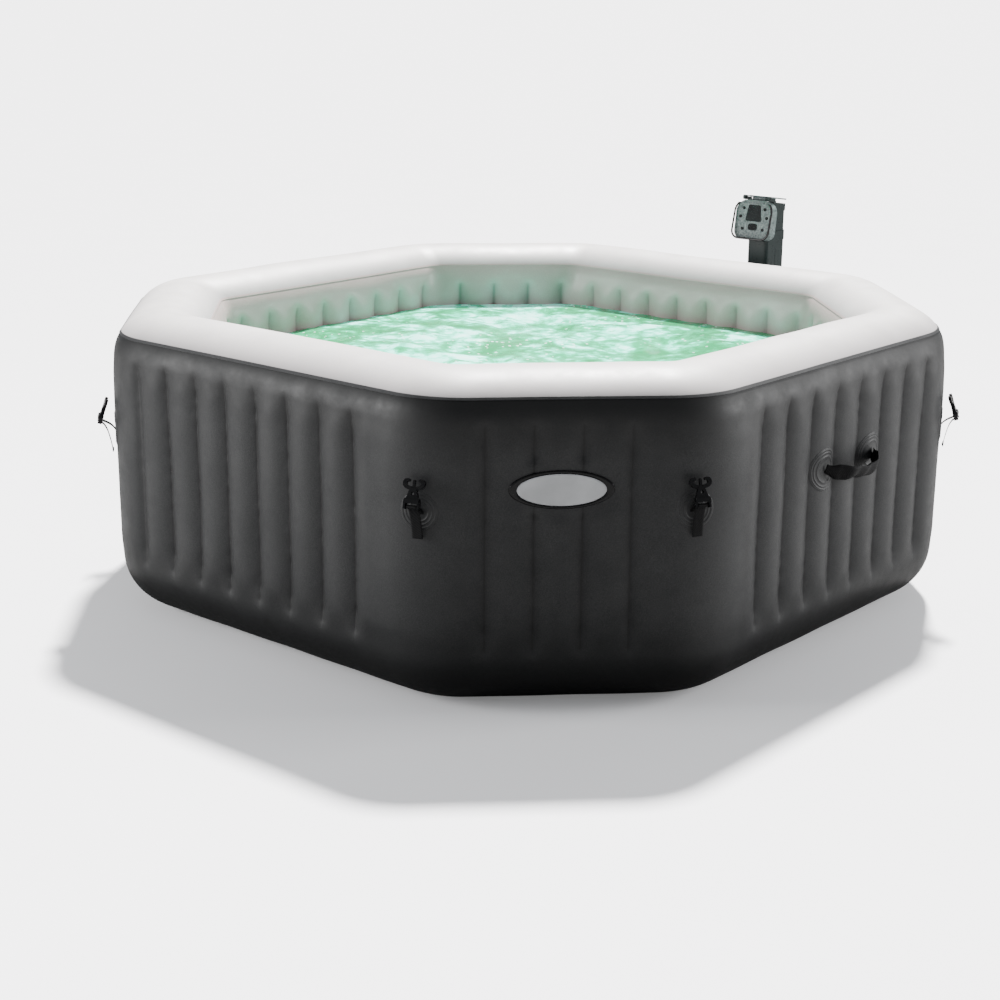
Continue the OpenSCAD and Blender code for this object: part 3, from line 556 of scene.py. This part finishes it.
def outer_push(distance, xy, z, row):
    """Ribs between the welds, a pucker at each end of a weld, and the slack of the sheet."""
    low, high = WELD_Z
    live = smooth(z, low - 0.025, low + 0.045) * (1 - smooth(z, high - 0.05, high + 0.02))
    plate = flat_spot(xy, z, (BADGE_X, BADGE_Z), (0.125, 0.060), 0.45) * (xy[:, 1] < -0.8)
    cap = flat_spot(xy, z, (CAP_X, CAP_Z), (0.045, 0.075), 0.35) * (xy[:, 1] > 0.8)
    ribs = (arch(distance, 0.0125) - 0.0085) * live * (1 - 0.9 * plate) * (1 - cap) - 0.0035 * cap
    ends = [np.exp(-(((z - e) / 0.009) ** 2)) for e in (WELD_Z[0] + 0.004, WELD_Z[1] - 0.012)]
    pucker = -0.0012 * sum(ends) * np.exp(-((distance / 0.008) ** 2))
    pinch = np.exp(-distance / 0.010) * live
    crimp = 0.0005 * pinch * wave_noise(xy[:, 0], xy[:, 1], z, 5, 16, 25, 60)
    slack = 0.0010 * wave_noise(xy[:, 0], xy[:, 1], z, 3, 30, 1.5, 7) * (0.6 + 0.4 * live)
    near_end = sum(np.exp(-(((z - e) / 0.05) ** 2)) for e in WELD_Z)
    pleats = wave_noise(xy[:, 0], xy[:, 1], z * 0.25, 8, 20, 14, 34)
    fan = 0.0004 * near_end * np.exp(-distance / 0.03) * pleats
    seam = smooth(z, 0.615, 0.655)
    return (ribs + pucker + crimp + slack + fan) * (1 - seam) + rim_push(distance, xy, z, row) * seam


def outer_wall():
    points = stations(0.0, OUTER_STEP)
    line = foot_line(22)
    rise = 78
    straight = (TOP - DOME_H) - FOOT_H
    line += [(0.0, FOOT_H + straight * k / rise, 1.0, 0.0) for k in range(rise)]
    line += dome_line(0.0, SEAM, 12)
    verts = swept(points, 0.0, line, outer_push)
    return add_object("outer_wall_cloth", verts, grid_faces(len(line), len(points)), MAT["wall"],
                      replaced=["outer_wall"],
                      crease=crease_shade_marks(points, line, WELD_Z[0], WELD_Z[1], 0.0026))


def rim_push(distance, xy, z, row):
    return 0.0009 * wave_noise(xy[:, 0], xy[:, 1], z, 12, 30, 1.0, 5)


def top_ring():
    points = stations(0.0, OUTER_STEP * 1.3)
    line = dome_line(SEAM, math.pi - SEAM, 44)
    verts = swept(points, 0.0, line, rim_push)
    return add_object("top_ring_cloth", verts, grid_faces(len(line), len(points)), MAT["rim"],
                      replaced=["top_ring"])


def inner_push(distance, xy, z, row):
    live = 1 - smooth(z, WELD_Z[1] - 0.03, WELD_Z[1] + 0.02)
    ribs = (arch(distance, 0.016) - 0.008) * live
    slack = 0.0012 * wave_noise(xy[:, 0], xy[:, 1], z, 23, 30, 2.0, 9)
    seam = smooth(z, 0.615, 0.655)
    return (ribs + slack) * (1 - seam) + rim_push(distance, xy, z, row) * seam


def inner_wall():
    points = stations(CHAMBER, OUTER_STEP)
    line = dome_line(math.pi - SEAM, math.pi, 18)
    low = 0.020
    drop = 60
    top = TOP - DOME_H
    line += [(CHAMBER, top + (low - top) * k / drop, -1.0, 0.0) for k in range(1, drop + 1)]
    verts = swept(points, CHAMBER, line, inner_push)
    return add_object("inner_wall_cloth", verts, grid_faces(len(line), len(points)), MAT["inner"],
                      replaced=["inner_wall"],
                      crease=crease_shade_marks(points, line, 0.05, WELD_Z[1], 0.006))


def weld_tape(name, angle, material, width, lift):
    """A narrow welded lap along the ring, standing a little proud of the sheets it joins."""
    points = stations(0.0, OUTER_STEP * 1.6)
    spread = [(-0.5, -0.3), (-0.5, 1.0), (-0.35, 1.0), (0.35, 1.0), (0.5, 0.8), (0.5, -0.3)]
    line = []
    for along, up in spread:
        a = angle + along * width / (CHAMBER / 2)
        rise = lift * up
        line.append((CHAMBER / 2 - (CHAMBER / 2 + rise) * math.cos(a),
                     TOP - DOME_H + (DOME_H + rise) * math.sin(a), math.cos(a), math.sin(a)))
    verts = swept(points, 0.0, line, rim_push)
    return add_object(name, verts, grid_faces(len(line), len(points)), material,
                      smooth_faces=False)


def webs():
    """The sheets that hold the two walls together, each from the bottom of one crease to the other."""
    verts, faces = [], []
    for i in range(8):
        t = math.radians(45 * i)
        n, along = np.array([math.cos(t), math.sin(t)]), np.array([-math.sin(t), math.cos(t)])
        for s in weld_places(i):
            start = len(verts)
            heights = np.linspace(0.147, 0.598, 24)
            for z in heights:
                dip = 0.004 * math.sin(math.pi * (z - 0.147) / 0.451)
                for share in (0.0, 0.25, 0.5, 0.75, 1.0):
                    d = SPAN[i % 2] - 0.010 - share * (CHAMBER - 0.020)
                    verts.append((*(d * n + (s + dip * math.sin(math.pi * share)) * along), z))
            faces += [tuple(start + v for v in f) for f in grid_faces(24, 5, closed=False)]
    return add_object("wall_webs_sheet", verts, faces, MAT["inner"], replaced=["wall_webs"])


# ---------------------------------------------------------------- fittings on the outer wall

FITTING_Z = 0.436
STRAP_TURNS = (-20.8, 7.9, -20.8, 7.9, -20.8, 7.9, -24.8, 13.5)


class WallSpot:
    """A place on the outer wall. at(across, up, lift) gives points on the ribbed wall, in arrays."""

    def __init__(self, side, s=None, turn=None, z=FITTING_Z):
        self.side, self.s, self.turn, self.z = side, s, turn, z
        t = math.radians(45 * side)
        if turn is None:
            self.centre = None
            self.angle = t
        else:
            h = half_length(side, 0.0) * (1 if turn > 0 else -1)
            c = SPAN[side % 2] - CORNER_R
            self.centre = np.array([c * math.cos(t) - h * math.sin(t), c * math.sin(t) + h * math.cos(t)])
            self.angle = t + math.radians(turn)

    def weld_distance(self, across):
        if self.centre is None:
            s = self.s + across
            return np.min([np.abs(s - w) for w in weld_places(self.side)], axis=0)
        return np.full(np.shape(across), WELD_PITCH)

    def at(self, across, up, lift, follow=1.0):
        across, up, lift = np.broadcast_arrays(*(np.asarray(v, float) for v in (across, up, lift)))
        z = self.z + up
        if self.centre is None:
            n = np.array([math.cos(self.angle), math.sin(self.angle)])
            base = SPAN[self.side % 2] * n + (self.s + across)[..., None] * np.array([-n[1], n[0]])
            normal = np.broadcast_to(n, base.shape)
        else:
            a = self.angle + across / CORNER_R
            normal = np.stack([np.cos(a), np.sin(a)], -1)
            base = self.centre + CORNER_R * normal
        d = outer_push(self.weld_distance(across), base, z, 0) * follow + lift
        return np.concatenate([base + d[..., None] * normal, z[..., None]], -1)

    def frame(self):
        """Local axes at the spot's middle, on the smooth wall: X out, Y anticlockwise, Z up."""
        n = np.array([math.cos(self.angle), math.sin(self.angle), 0])
        if self.centre is None:
            at = SPAN[self.side % 2] * n + self.s * np.array([-n[1], n[0], 0])
        else:
            at = np.array([*self.centre, 0]) + CORNER_R * n
        at = at + np.array([0, 0, self.z])
        return Matrix(((n[0], -n[1], 0, at[0]), (n[1], n[0], 0, at[1]), (0, 0, 1, at[2]), (0, 0, 0, 1)))


def strap_spot(k):
    return WallSpot(2 * ((k - 1) // 2), turn=STRAP_TURNS[k - 1])


def disc(name, spot, radius, profile, material, follow=1.0, squash=1.0, replaced=()):
    """A round or oval sheet that follows the wall. profile is [(share of the radius, lift)], middle first."""
    turns = 72
    angles = np.arange(turns) * 2 * math.pi / turns
    rows = []
    for share, lift in profile:
        reach = radius * share
        rows.append(spot.at(reach * np.cos(angles), reach * squash * np.sin(angles), lift, follow))
    verts = np.concatenate(rows)
    faces = [tuple(f) for f in grid_faces(len(rows), turns)]
    faces.append(tuple(range(turns))[::-1])
    return add_object(name, verts, faces, material, replaced=replaced)


def ringed_profile(thick, rings):
    """A flat disc with a rounded rim and raised weld rings at the given shares of its radius."""
    beads = [r + d for r in rings for d in (-0.035, -0.018, 0.0, 0.018, 0.035)]
    shares = sorted({0.02, 0.2, 0.4, 0.6, *beads, 0.93, 0.96, 0.985, 1.0, 1.005})
    out = []
    for share in shares:
        lift = thick
        for r in rings:
            lift += 0.0011 * max(0.0, 1 - abs(share - r) / 0.03)
        if share > 0.95:
            lift = thick * (1 - ((share - 0.95) / 0.055) ** 2)
        out.append((min(share, 1.002), lift if share < 1.001 else -0.002))
    return out


def smooth_path(points, count):
    """A Catmull-Rom curve through the points, at even steps."""
    pts = [Vector(p) for p in points]
    pts = [2 * pts[0] - pts[1], *pts, 2 * pts[-1] - pts[-2]]
    fine = []
    for k in range(1, len(pts) - 2):
        p0, p1, p2, p3 = pts[k - 1:k + 3]
        for step in range(16):
            t = step / 16
            fine.append(0.5 * ((2 * p1) + (p2 - p0) * t + (2 * p0 - 5 * p1 + 4 * p2 - p3) * t * t
                               + (3 * p1 - p0 - 3 * p2 + p3) * t ** 3))
    fine.append(pts[-2])
    lengths = [0.0]
    for a, b in zip(fine, fine[1:]):
        lengths.append(lengths[-1] + (b - a).length)
    out, k = [], 0
    for step in range(count):
        want = lengths[-1] * step / (count - 1)
        while k < len(lengths) - 2 and lengths[k + 1] < want:
            k += 1
        gap = max(lengths[k + 1] - lengths[k], 1e-9)
        out.append(fine[k].lerp(fine[k + 1], min(1.0, (want - lengths[k]) / gap)))
    return out


def ribbon(path, widths, thick, ups, curl=0.0, across_count=9):
    """A closed band along the path: widths and ups (the band's width direction) are per point."""
    count = len(path)
    verts, faces = [], []
    ring = across_count * 2
    for k, p in enumerate(path):
        along = (path[min(k + 1, count - 1)] - path[max(k - 1, 0)]).normalized()
        up = (ups[k] - along * ups[k].dot(along)).normalized()
        face = along.cross(up)
        width = widths[k]
        for side in (1, -1):
            order = range(across_count) if side > 0 else range(across_count - 1, -1, -1)
            for j in order:
                t = 2 * j / (across_count - 1) - 1
                edge = 1 - 0.65 * abs(t) ** 8
                verts.append(p + up * (t * width / 2 * (0.985 if abs(t) == 1 else 1.0))
                             + face * (side * thick / 2 * edge + curl * (t * t - 0.3)))
        if k:
            for j in range(ring):
                n = (j + 1) % ring
                a, b = (k - 1) * ring, k * ring
                faces.append((a + j, a + n, b + n, b + j))
    faces.append(tuple(range(ring))[::-1])
    faces.append(tuple((count - 1) * ring + j for j in range(ring)))
    return verts, faces


def merge(parts):
    verts, faces = [], []
    for v, f in parts:
        start = len(verts)
        verts += [tuple(p) for p in v]
        faces += [tuple(i + start for i in face) for face in f]
    return verts, faces


BAR = (0.040, 0.018)
MM = 0.001
WEB_W = 0.0236
BUCKLE_LEAN = math.radians(20)


def extruded(outline, depth, holes=(), at=0.0):
    """A plate along X with the outline in Y and Z. Its caps are cut round the holes."""
    loops = [list(outline), *[list(h) for h in holes]]
    flat = [p for loop in loops for p in loop]
    verts = [(at + x, y, z) for x in (-depth / 2, depth / 2) for y, z in flat]
    cap = tessellate_polygon([[Vector((y, z, 0)) for y, z in loop] for loop in loops])
    faces = [tuple(c)[::-1] for c in cap] + [tuple(i + len(flat) for i in c) for c in cap]
    start = 0
    for loop in loops:
        count = len(loop)
        for k in range(count):
            a, b = start + k, start + (k + 1) % count
            faces.append((a, b, b + len(flat), a + len(flat)))
        start += count
    return verts, faces


def circle(centre, radius, count=20):
    angles = [2 * math.pi * k / count for k in range(count)]
    return [(centre[0] + radius * math.cos(a), centre[1] + radius * math.sin(a)) for a in angles]


def in_mm(outline):
    return [(y * MM, z * MM) for y, z in outline]


def mirrored(outline):
    return [(-y, z) for y, z in outline][::-1]


def buckle(k):
    """The plug half of a side-release buckle: a slotted box for the web, a waisted body and two ears."""
    w = (WEB_W / 2 + 0.0006) / MM
    bar = extruded(circle((0, 0), 1.8 * MM), 2 * w * MM + 0.004)
    bar = ([(z, x, y) for x, y, z in bar[0]], bar[1])
    cheek = in_mm([(w, -5), (w + 4.4, -4), (w + 4.8, 10), (w + 3.5, 17), (w, 17)])
    bridge = in_mm([(-w - 1, 7.5), (w + 1, 7.5), (w + 1, 12.5), (-w - 1, 12.5)])
    brow = in_mm([(-w - 4.2, 6.6), (w + 4.2, 6.6), (w + 3.4, 15), (-w - 3.4, 15)])
    body = in_mm([(-w - 2, 13.5), (w + 2, 13.5), (w, 19), (8.5, 31), (7, 38), (-7, 38), (-8.5, 31), (-w, 19)])
    ear = in_mm([(4, 33), (10, 34), (18, 37), (23, 42), (23.5, 49), (20, 55), (13, 56.5), (9, 54),
                 (9.5, 50.5), (15, 49), (15.5, 44.5), (9, 41.5), (4, 41)])
    tongue = in_mm([(-3, 36), (3, 36), (2.6, 52), (1.4, 54), (-1.4, 54), (-2.6, 52)])
    plates = [bar, extruded(cheek, 0.0095), extruded(mirrored(cheek), 0.0095), extruded(bridge, 0.0105),
              extruded(brow, 0.0026, at=0.0062), extruded(body, 0.0085, [circle((0, 0.0265), 0.0034)]),
              extruded(ear, 0.0066), extruded(mirrored(ear), 0.0066), extruded(tongue, 0.0050)]
    verts, faces = merge(plates)
    place = (strap_spot(k).frame() @ Matrix.Translation((BAR[0], 0, BAR[1]))
             @ Matrix.Rotation(-BUCKLE_LEAN, 4, "Y"))
    verts = [place @ Vector(v) for v in verts]
    obj = add_object(f"buckle_{k}_moulding", verts, faces, MAT["black"], body=f"buckle_{k}",
                     replaced=[f"buckle_{k}"], smooth_faces=False)
    bevel = obj.modifiers.new("edges", "BEVEL")
    bevel.width = 0.0007
    bevel.segments = 2
    bevel.limit_method = "ANGLE"
    return obj


def strap(k):
    """Webbing from the patch out to the buckle's bar, round it, and a free tail with a folded hem."""
    spot = strap_spot(k)
    place = spot.frame()
    loop = 0.0029
    rng = np.random.default_rng(100 + k)
    sway = rng.uniform(-0.004, 0.004)
    out = [(0.0042, 0, -0.006), (0.0075, 0, 0.001), (0.016, 0, 0.0095), (0.028, 0, 0.0165),
           (0.0375, 0, BAR[1] + loop)]
    turn = [(BAR[0] + loop * math.cos(a), 0, BAR[1] + loop * math.sin(a)) for a in (1.1, 0.4, -0.4, -1.1)]
    tail = [(0.0375, 0, BAR[1] - loop), (0.0305, 0, 0.0095), (0.0235, sway * 0.3, -0.004),
            (0.0180, sway * 0.6, -0.024), (0.0145, sway * 0.9, -0.042), (0.0135, sway, -0.0545)]
    path = smooth_path([place @ Vector(p) for p in out + turn + tail], 70)
    side = (place.to_3x3() @ Vector((0, 1, 0))).normalized()
    tilt = Vector((0, 0, rng.uniform(-0.08, 0.08)))
    ups = [side + tilt * smooth(k2 / 69, 0.6, 1.0) for k2 in range(70)]
    band = ribbon(path, [WEB_W] * 70, 0.0015, ups)
    back = -side.cross(Vector((0, 0, 1)))
    hem_path = smooth_path([path[-1], path[-1] + Vector((0, 0, 0.004)) + back * 0.0022,
                            path[-5] + back * 0.0020], 12)
    hem = ribbon(hem_path, [WEB_W * 0.99] * 12, 0.0014, [ups[-1]] * 12)
    tab_line = [(0.0034, 0, 0.017), (0.0040, 0, 0.002), (0.0042, 0, -0.016)]
    tab_path = smooth_path([place @ Vector(p) for p in tab_line], 12)
    tab = ribbon(tab_path, [WEB_W * 1.06] * 12, 0.0018, [side] * 12)
    verts, faces = merge([band, hem, tab])
    return add_object(f"strap_{k}_webbing", verts, faces, MAT["webbing"], replaced=[f"strap_{k}"])


HANDLE_SIDES = (7, 3)
HANDLE_HALF = 0.098
HANDLE_AXIS = 0.0093
HANDLE_DROOP = math.radians(22)


def handle(k):
    """A bowed carry strap: a folded band between two weld discs, a little crumpled by its own stiffness."""
    side_number = HANDLE_SIDES[k - 1]
    spot = WallSpot(side_number, s=WELD_MID[side_number])
    place = spot.frame() @ Matrix.Translation((HANDLE_AXIS, 0, 0)) @ Matrix.Rotation(HANDLE_DROOP, 4, "Y")
    reach = 0.039
    half = HANDLE_HALF
    line = [(-0.003, -half - 0.004), (0.007, -half + 0.006), (0.021, -half + 0.019),
            (reach * 0.92, -half + 0.040), (reach, -half + 0.068), (reach * 1.02, 0.0)]
    points = line + [(x, -y) for x, y in line[-2::-1]]
    count = 90
    path, ups, widths = smooth_path([(x, y, 0) for x, y in points], count), [], []
    rng = np.random.default_rng(40 + k)
    phase = rng.uniform(0, 6)
    for j, p in enumerate(path):
        t = j / (count - 1)
        near = min(t, 1 - t)
        p.z += 0.0035 * math.sin(9 * t + phase) * smooth(near, 0.05, 0.25)
        p.x += 0.0012 * math.sin(31 * t + phase)
        twist = 0.30 * math.sin(5.2 * t + phase) * smooth(near, 0.02, 0.2)
        ups.append(Vector((math.sin(twist), 0, math.cos(twist))))
        widths.append(0.024 + 0.016 * smooth(near, 0.02, 0.14))
    lead = ribbon(path, widths, 0.0028, ups, curl=-0.004)
    fold_path = [p + Vector((-0.0032, 0, 0.0)) for p in path[14:count - 14]]
    fold_widths = [w * 0.84 for w in widths[14:count - 14]]
    fold = ribbon(fold_path, fold_widths, 0.0022, ups[14:count - 14], curl=-0.0045)
    verts, faces = merge([lead, fold])
    verts = [place @ Vector(v) for v in verts]
    return add_object(f"carry_handle_{k}_strap", verts, faces, MAT["webbing"], body=f"carry_handle_{k}",
                      replaced=[f"carry_handle_{k}"])


def badge():
    """A blank oval plate on the front wall: a dark rim, a fine pale edge line and a plain grey middle."""
    spot = WallSpot(6, s=BADGE_X, z=BADGE_Z)
    rim = [(0.02, 0.0022), (0.60, 0.0022), (0.84, 0.0022), (0.86, 0.0034), (0.93, 0.0038), (0.975, 0.0036),
           (0.995, 0.0026), (1.0, 0.0010), (1.0, -0.006)]
    disc("badge_rim", spot, 0.1065, rim, MAT["black"], 0.0, 0.372)
    face = [(0.02, 0.0034), (0.5, 0.0034), (0.90, 0.0033), (0.985, 0.0031), (1.0, 0.0024), (1.0, 0.001)]
    disc("badge_face", spot, 0.0900, face, MAT["badge"], 0.0, 0.366)


def fittings():
    for k in range(1, 9):
        disc(f"strap_patch_{k}", strap_spot(k), 0.040, ringed_profile(0.0008, (0.88, 0.70, 0.52)),
             MAT["disc"], replaced=["weld_patches"])
        strap(k)
        buckle(k)
    for k, side_number in enumerate(HANDLE_SIDES, 1):
        for m in (-1, 1):
            spot = WallSpot(side_number, s=WELD_MID[side_number] + m * HANDLE_HALF)
            disc(f"handle_patch_{k}_{'left' if m < 0 else 'right'}", spot, 0.0485,
                 ringed_profile(0.0010, (0.90, 0.78, 0.60)), MAT["disc"],
                 replaced=["weld_patches"])
        handle(k)
    badge()


def flat_sheet(name, off, z, material, replaced, slack):
    """A sheet cut to the plan, lying level, with the small rises of a sheet that isn't pulled tight."""
    points = stations(off, 0.03)
    rim = plan_ring(points, off, off)[0]
    shares = [0.03, *np.linspace(0.1, 1.0, 22)]
    rows = []
    for share in shares:
        x, y = rim[:, 0] * share, rim[:, 1] * share
        rise = slack * np.clip(wave_noise(x, y, 0.0, 61, 24, 1.0, 5.0) + 0.6, 0, 2) * (1 - share ** 6)
        rows.append(np.stack([x, y, z + rise], 1))
    faces = [tuple(f) for f in grid_faces(len(rows), len(points))] + [tuple(range(len(points)))[::-1]]
    obj = add_object(name, np.concatenate(rows), faces, material, replaced=[replaced])
    return obj


def channel_push(distance, xy, z, row):
    return 0.0008 * wave_noise(xy[:, 0], xy[:, 1], z, 71, 20, 4, 12)


def bubble_channel():
    """The air channel round the foot of the inner wall, drawn as a soft rounded step without its perforations
    or welded edges.
    """
    points = stations(CHAMBER, 0.012)
    corners = [(0.0, 0.060), (0.012, 0.0595), (0.024, 0.056), (0.033, 0.049), (0.0385, 0.039), (0.040, 0.028),
               (0.0398, 0.0185)]
    line = [(CHAMBER + stand, z, -0.7, 0.7) for stand, z in corners]
    verts = swept(points, CHAMBER, line, channel_push)
    return add_object("bubble_channel_cloth", verts, grid_faces(len(line), len(points)), MAT["inner"],
                      replaced=["bubble_channel"])


POST_X, HEAD_Z = 1.075, 0.7356      # the post's middle from the tub's, and the height of its top
FACE_FOOT = (-0.079, 0.0055)        # the foot of the head's face, out from the post and up
HEAD_TILT = math.radians(8)
LID_HINGE = (0.006, 0.119)          # the lid's hinge, behind the face and up from its foot
LID_LEAN = math.radians(5.5)
LID_FACE = -0.0086                  # the lid's outer face
LID_TOP = 0.1030                    # where the lid's plate is cut off level


def lid_outline(extra):
    """The clear lid's outline, grown by extra, as (across, up) in metres."""
    arcs = [(0.026, 0.077, 0.035, 0), (-0.026, 0.077, 0.035, 90), (-0.038, 0.024, 0.023, 180),
            (0.038, 0.024, 0.023, 270)]
    out = []
    for y, z, r, start in arcs:
        for k in range(13):
            a = math.radians(start + 90 * k / 12)
            out.append((y + (r + extra) * math.cos(a), min(z + (r + extra) * math.sin(a), LID_TOP)))
    return out


def lid_rim():
    """The dark bead round the edge of the clear lid, on its outer face."""
    foot = Matrix.Translation((POST_X + FACE_FOOT[0], 0, HEAD_Z + FACE_FOOT[1]))
    hinge = Matrix.Translation((LID_HINGE[0], 0, LID_HINGE[1]))
    place = (Matrix.Rotation(math.radians(45), 4, "Z") @ foot @ Matrix.Rotation(HEAD_TILT, 4, "Y") @ hinge
             @ Matrix.Rotation(LID_LEAN, 4, "Y") @ Matrix.Translation((0, 0, -LID_HINGE[1])))
    spread = [(-0.0030, -0.0001), (-0.0027, 0.0009), (-0.0008, 0.0014), (0.0018, 0.0013), (0.0029, 0.0006),
              (0.0032, -0.0006), (0.0030, -0.0022), (0.0024, -0.0026)]
    verts = []
    for extra, high in spread:
        verts += [place @ Vector((LID_FACE - high, y, z)) for y, z in lid_outline(extra)]
    faces = grid_faces(len(spread), len(lid_outline(0)))
    return add_object("lid_rim", verts, faces, MAT["black"], body="splash_lid")


outer_wall()
top_ring()
inner_wall()
flat_sheet("base_sheet_cloth", FOOT_IN, 0.0006, MAT["wall"], "base_sheet", 0.0)
flat_sheet("tub_floor_cloth", CHAMBER, 0.0165, MAT["inner"], "tub_floor", 0.0012)
bubble_channel()
lid_rim()
weld_tape("outer_weld_lap", SEAM, MAT["patch"], 0.008, 0.0014)
weld_tape("inner_weld_lap", math.pi - SEAM, MAT["inner"], 0.006, 0.0012)
fittings()
webs()

# ---------------------------------------------------------------- water

WATER_Z = 0.552


def water():
    step = 0.009
    off = CHAMBER + 0.002
    edge = np.arange(-0.80, 0.80, step)
    x, y = np.meshgrid(edge, edge, indexing="ij")
    # distance inside each of the eight sides
    gap = np.full(x.shape, 9.0)
    for i in range(8):
        t = math.radians(45 * i)
        gap = np.minimum(gap, SPAN[i % 2] - off - (x * math.cos(t) + y * math.sin(t)))
    keep = gap > -0.004
    calm = smooth(gap, 0.0, 0.20)
    swell = 0.006 * wave_noise(x, y, 0.0, 31, 24, 1.2, 4.0)
    chop = 0.0028 * wave_noise(x, y, 0.0, 32, 30, 5.0, 14.0)
    z = WATER_Z + (swell + chop) * (0.15 + 0.85 * calm)
    index = -np.ones(x.shape, int)
    index[keep] = np.arange(keep.sum())
    top = np.stack([x[keep], y[keep], z[keep]], 1)
    whole = keep[:-1, :-1] & keep[1:, :-1] & keep[1:, 1:] & keep[:-1, 1:]
    a, b = np.nonzero(whole)
    quads = np.stack([index[a, b], index[a + 1, b], index[a + 1, b + 1], index[a, b + 1]], 1)
    return add_object("water_surface", top, quads, MAT["water"])


water()

# ---------------------------------------------------------------- stage

def area_light(name, at, aim, size, power, colour=(1, 1, 1)):
    data = bpy.data.lights.new(name, "AREA")
    data.shape = "RECTANGLE"
    data.size, data.size_y = size
    data.energy = power
    data.color = colour
    light = bpy.data.objects.new(name, data)
    light.location = at
    light.rotation_euler = (Vector(aim) - Vector(at)).to_track_quat("-Z", "Y").to_euler()
    bpy.context.scene.collection.objects.link(light)
    return light


def seen_only(tree, seen, unseen):
    """A shader that the camera sees as the first and everything else as the second."""
    path = tree.nodes.new("ShaderNodeLightPath")
    mix = tree.nodes.new("ShaderNodeMixShader")
    tree.links.new(path.outputs["Is Camera Ray"], mix.inputs["Fac"])
    tree.links.new(unseen, mix.inputs[1])
    tree.links.new(seen, mix.inputs[2])
    return mix.outputs["Shader"]


def make_stage():
    bpy.ops.mesh.primitive_plane_add(size=400, location=(0, 0, -0.0005))
    floor = bpy.context.object
    floor.name = "floor"
    n = Nodes("floor_white")
    n.set(Base_Color=n.mix(n.noise(3.0, 2.0), (0.80, 0.80, 0.82), (0.84, 0.84, 0.86)), Roughness=0.8,
          Emission_Color=(1.0, 1.0, 1.0), Emission_Strength=FLOOR_GLOW, Specular_IOR_Level=0.1)
    dim = n.new("ShaderNodeBsdfDiffuse")
    dim.inputs["Color"].default_value = (0.22, 0.22, 0.22, 1.0)
    out = n.tree.nodes["Material Output"]
    n.link(seen_only(n.tree, n.bsdf.outputs["BSDF"], dim.outputs["BSDF"]), out.inputs["Surface"])
    floor.data.materials.append(n.mat)
    world = bpy.data.worlds.new("studio")
    bpy.context.scene.world = world
    world.use_nodes = True
    tree = world.node_tree
    back = tree.nodes["Background"]
    back.inputs["Color"].default_value = (1.0, 1.0, 1.0, 1.0)
    back.inputs["Strength"].default_value = WORLD_SEEN
    fill = tree.nodes.new("ShaderNodeBackground")
    fill.inputs["Color"].default_value = (0.93, 0.96, 1.0, 1.0)
    fill.inputs["Strength"].default_value = WORLD_FILL
    shader = seen_only(tree, back.outputs["Background"], fill.outputs["Background"])
    tree.links.new(shader, tree.nodes["World Output"].inputs["Surface"])
    sun = bpy.data.lights.new("sun", "SUN")
    sun.energy = SUN
    sun.angle = math.radians(5)
    sun.color = (1.0, 0.985, 0.97)
    lamp = bpy.data.objects.new("sun", sun)
    lamp.rotation_euler = Vector((-0.13, -0.46, -0.68)).to_track_quat("-Z", "Y").to_euler()
    bpy.context.scene.collection.objects.link(lamp)
    area_light("side_left", (-4.6, -0.9, 1.5), (-0.6, -0.6, 0.35), (1.6, 2.0), SIDE_LEFT)
    area_light("side_right", (4.6, -0.6, 1.5), (0.6, -0.6, 0.35), (1.6, 2.0), SIDE_RIGHT)


WORLD_SEEN, WORLD_FILL, FLOOR_GLOW = 12.0, 0.42, 0.16
SUN, SIDE_LEFT, SIDE_RIGHT = 20.0, 220, 200
make_stage()
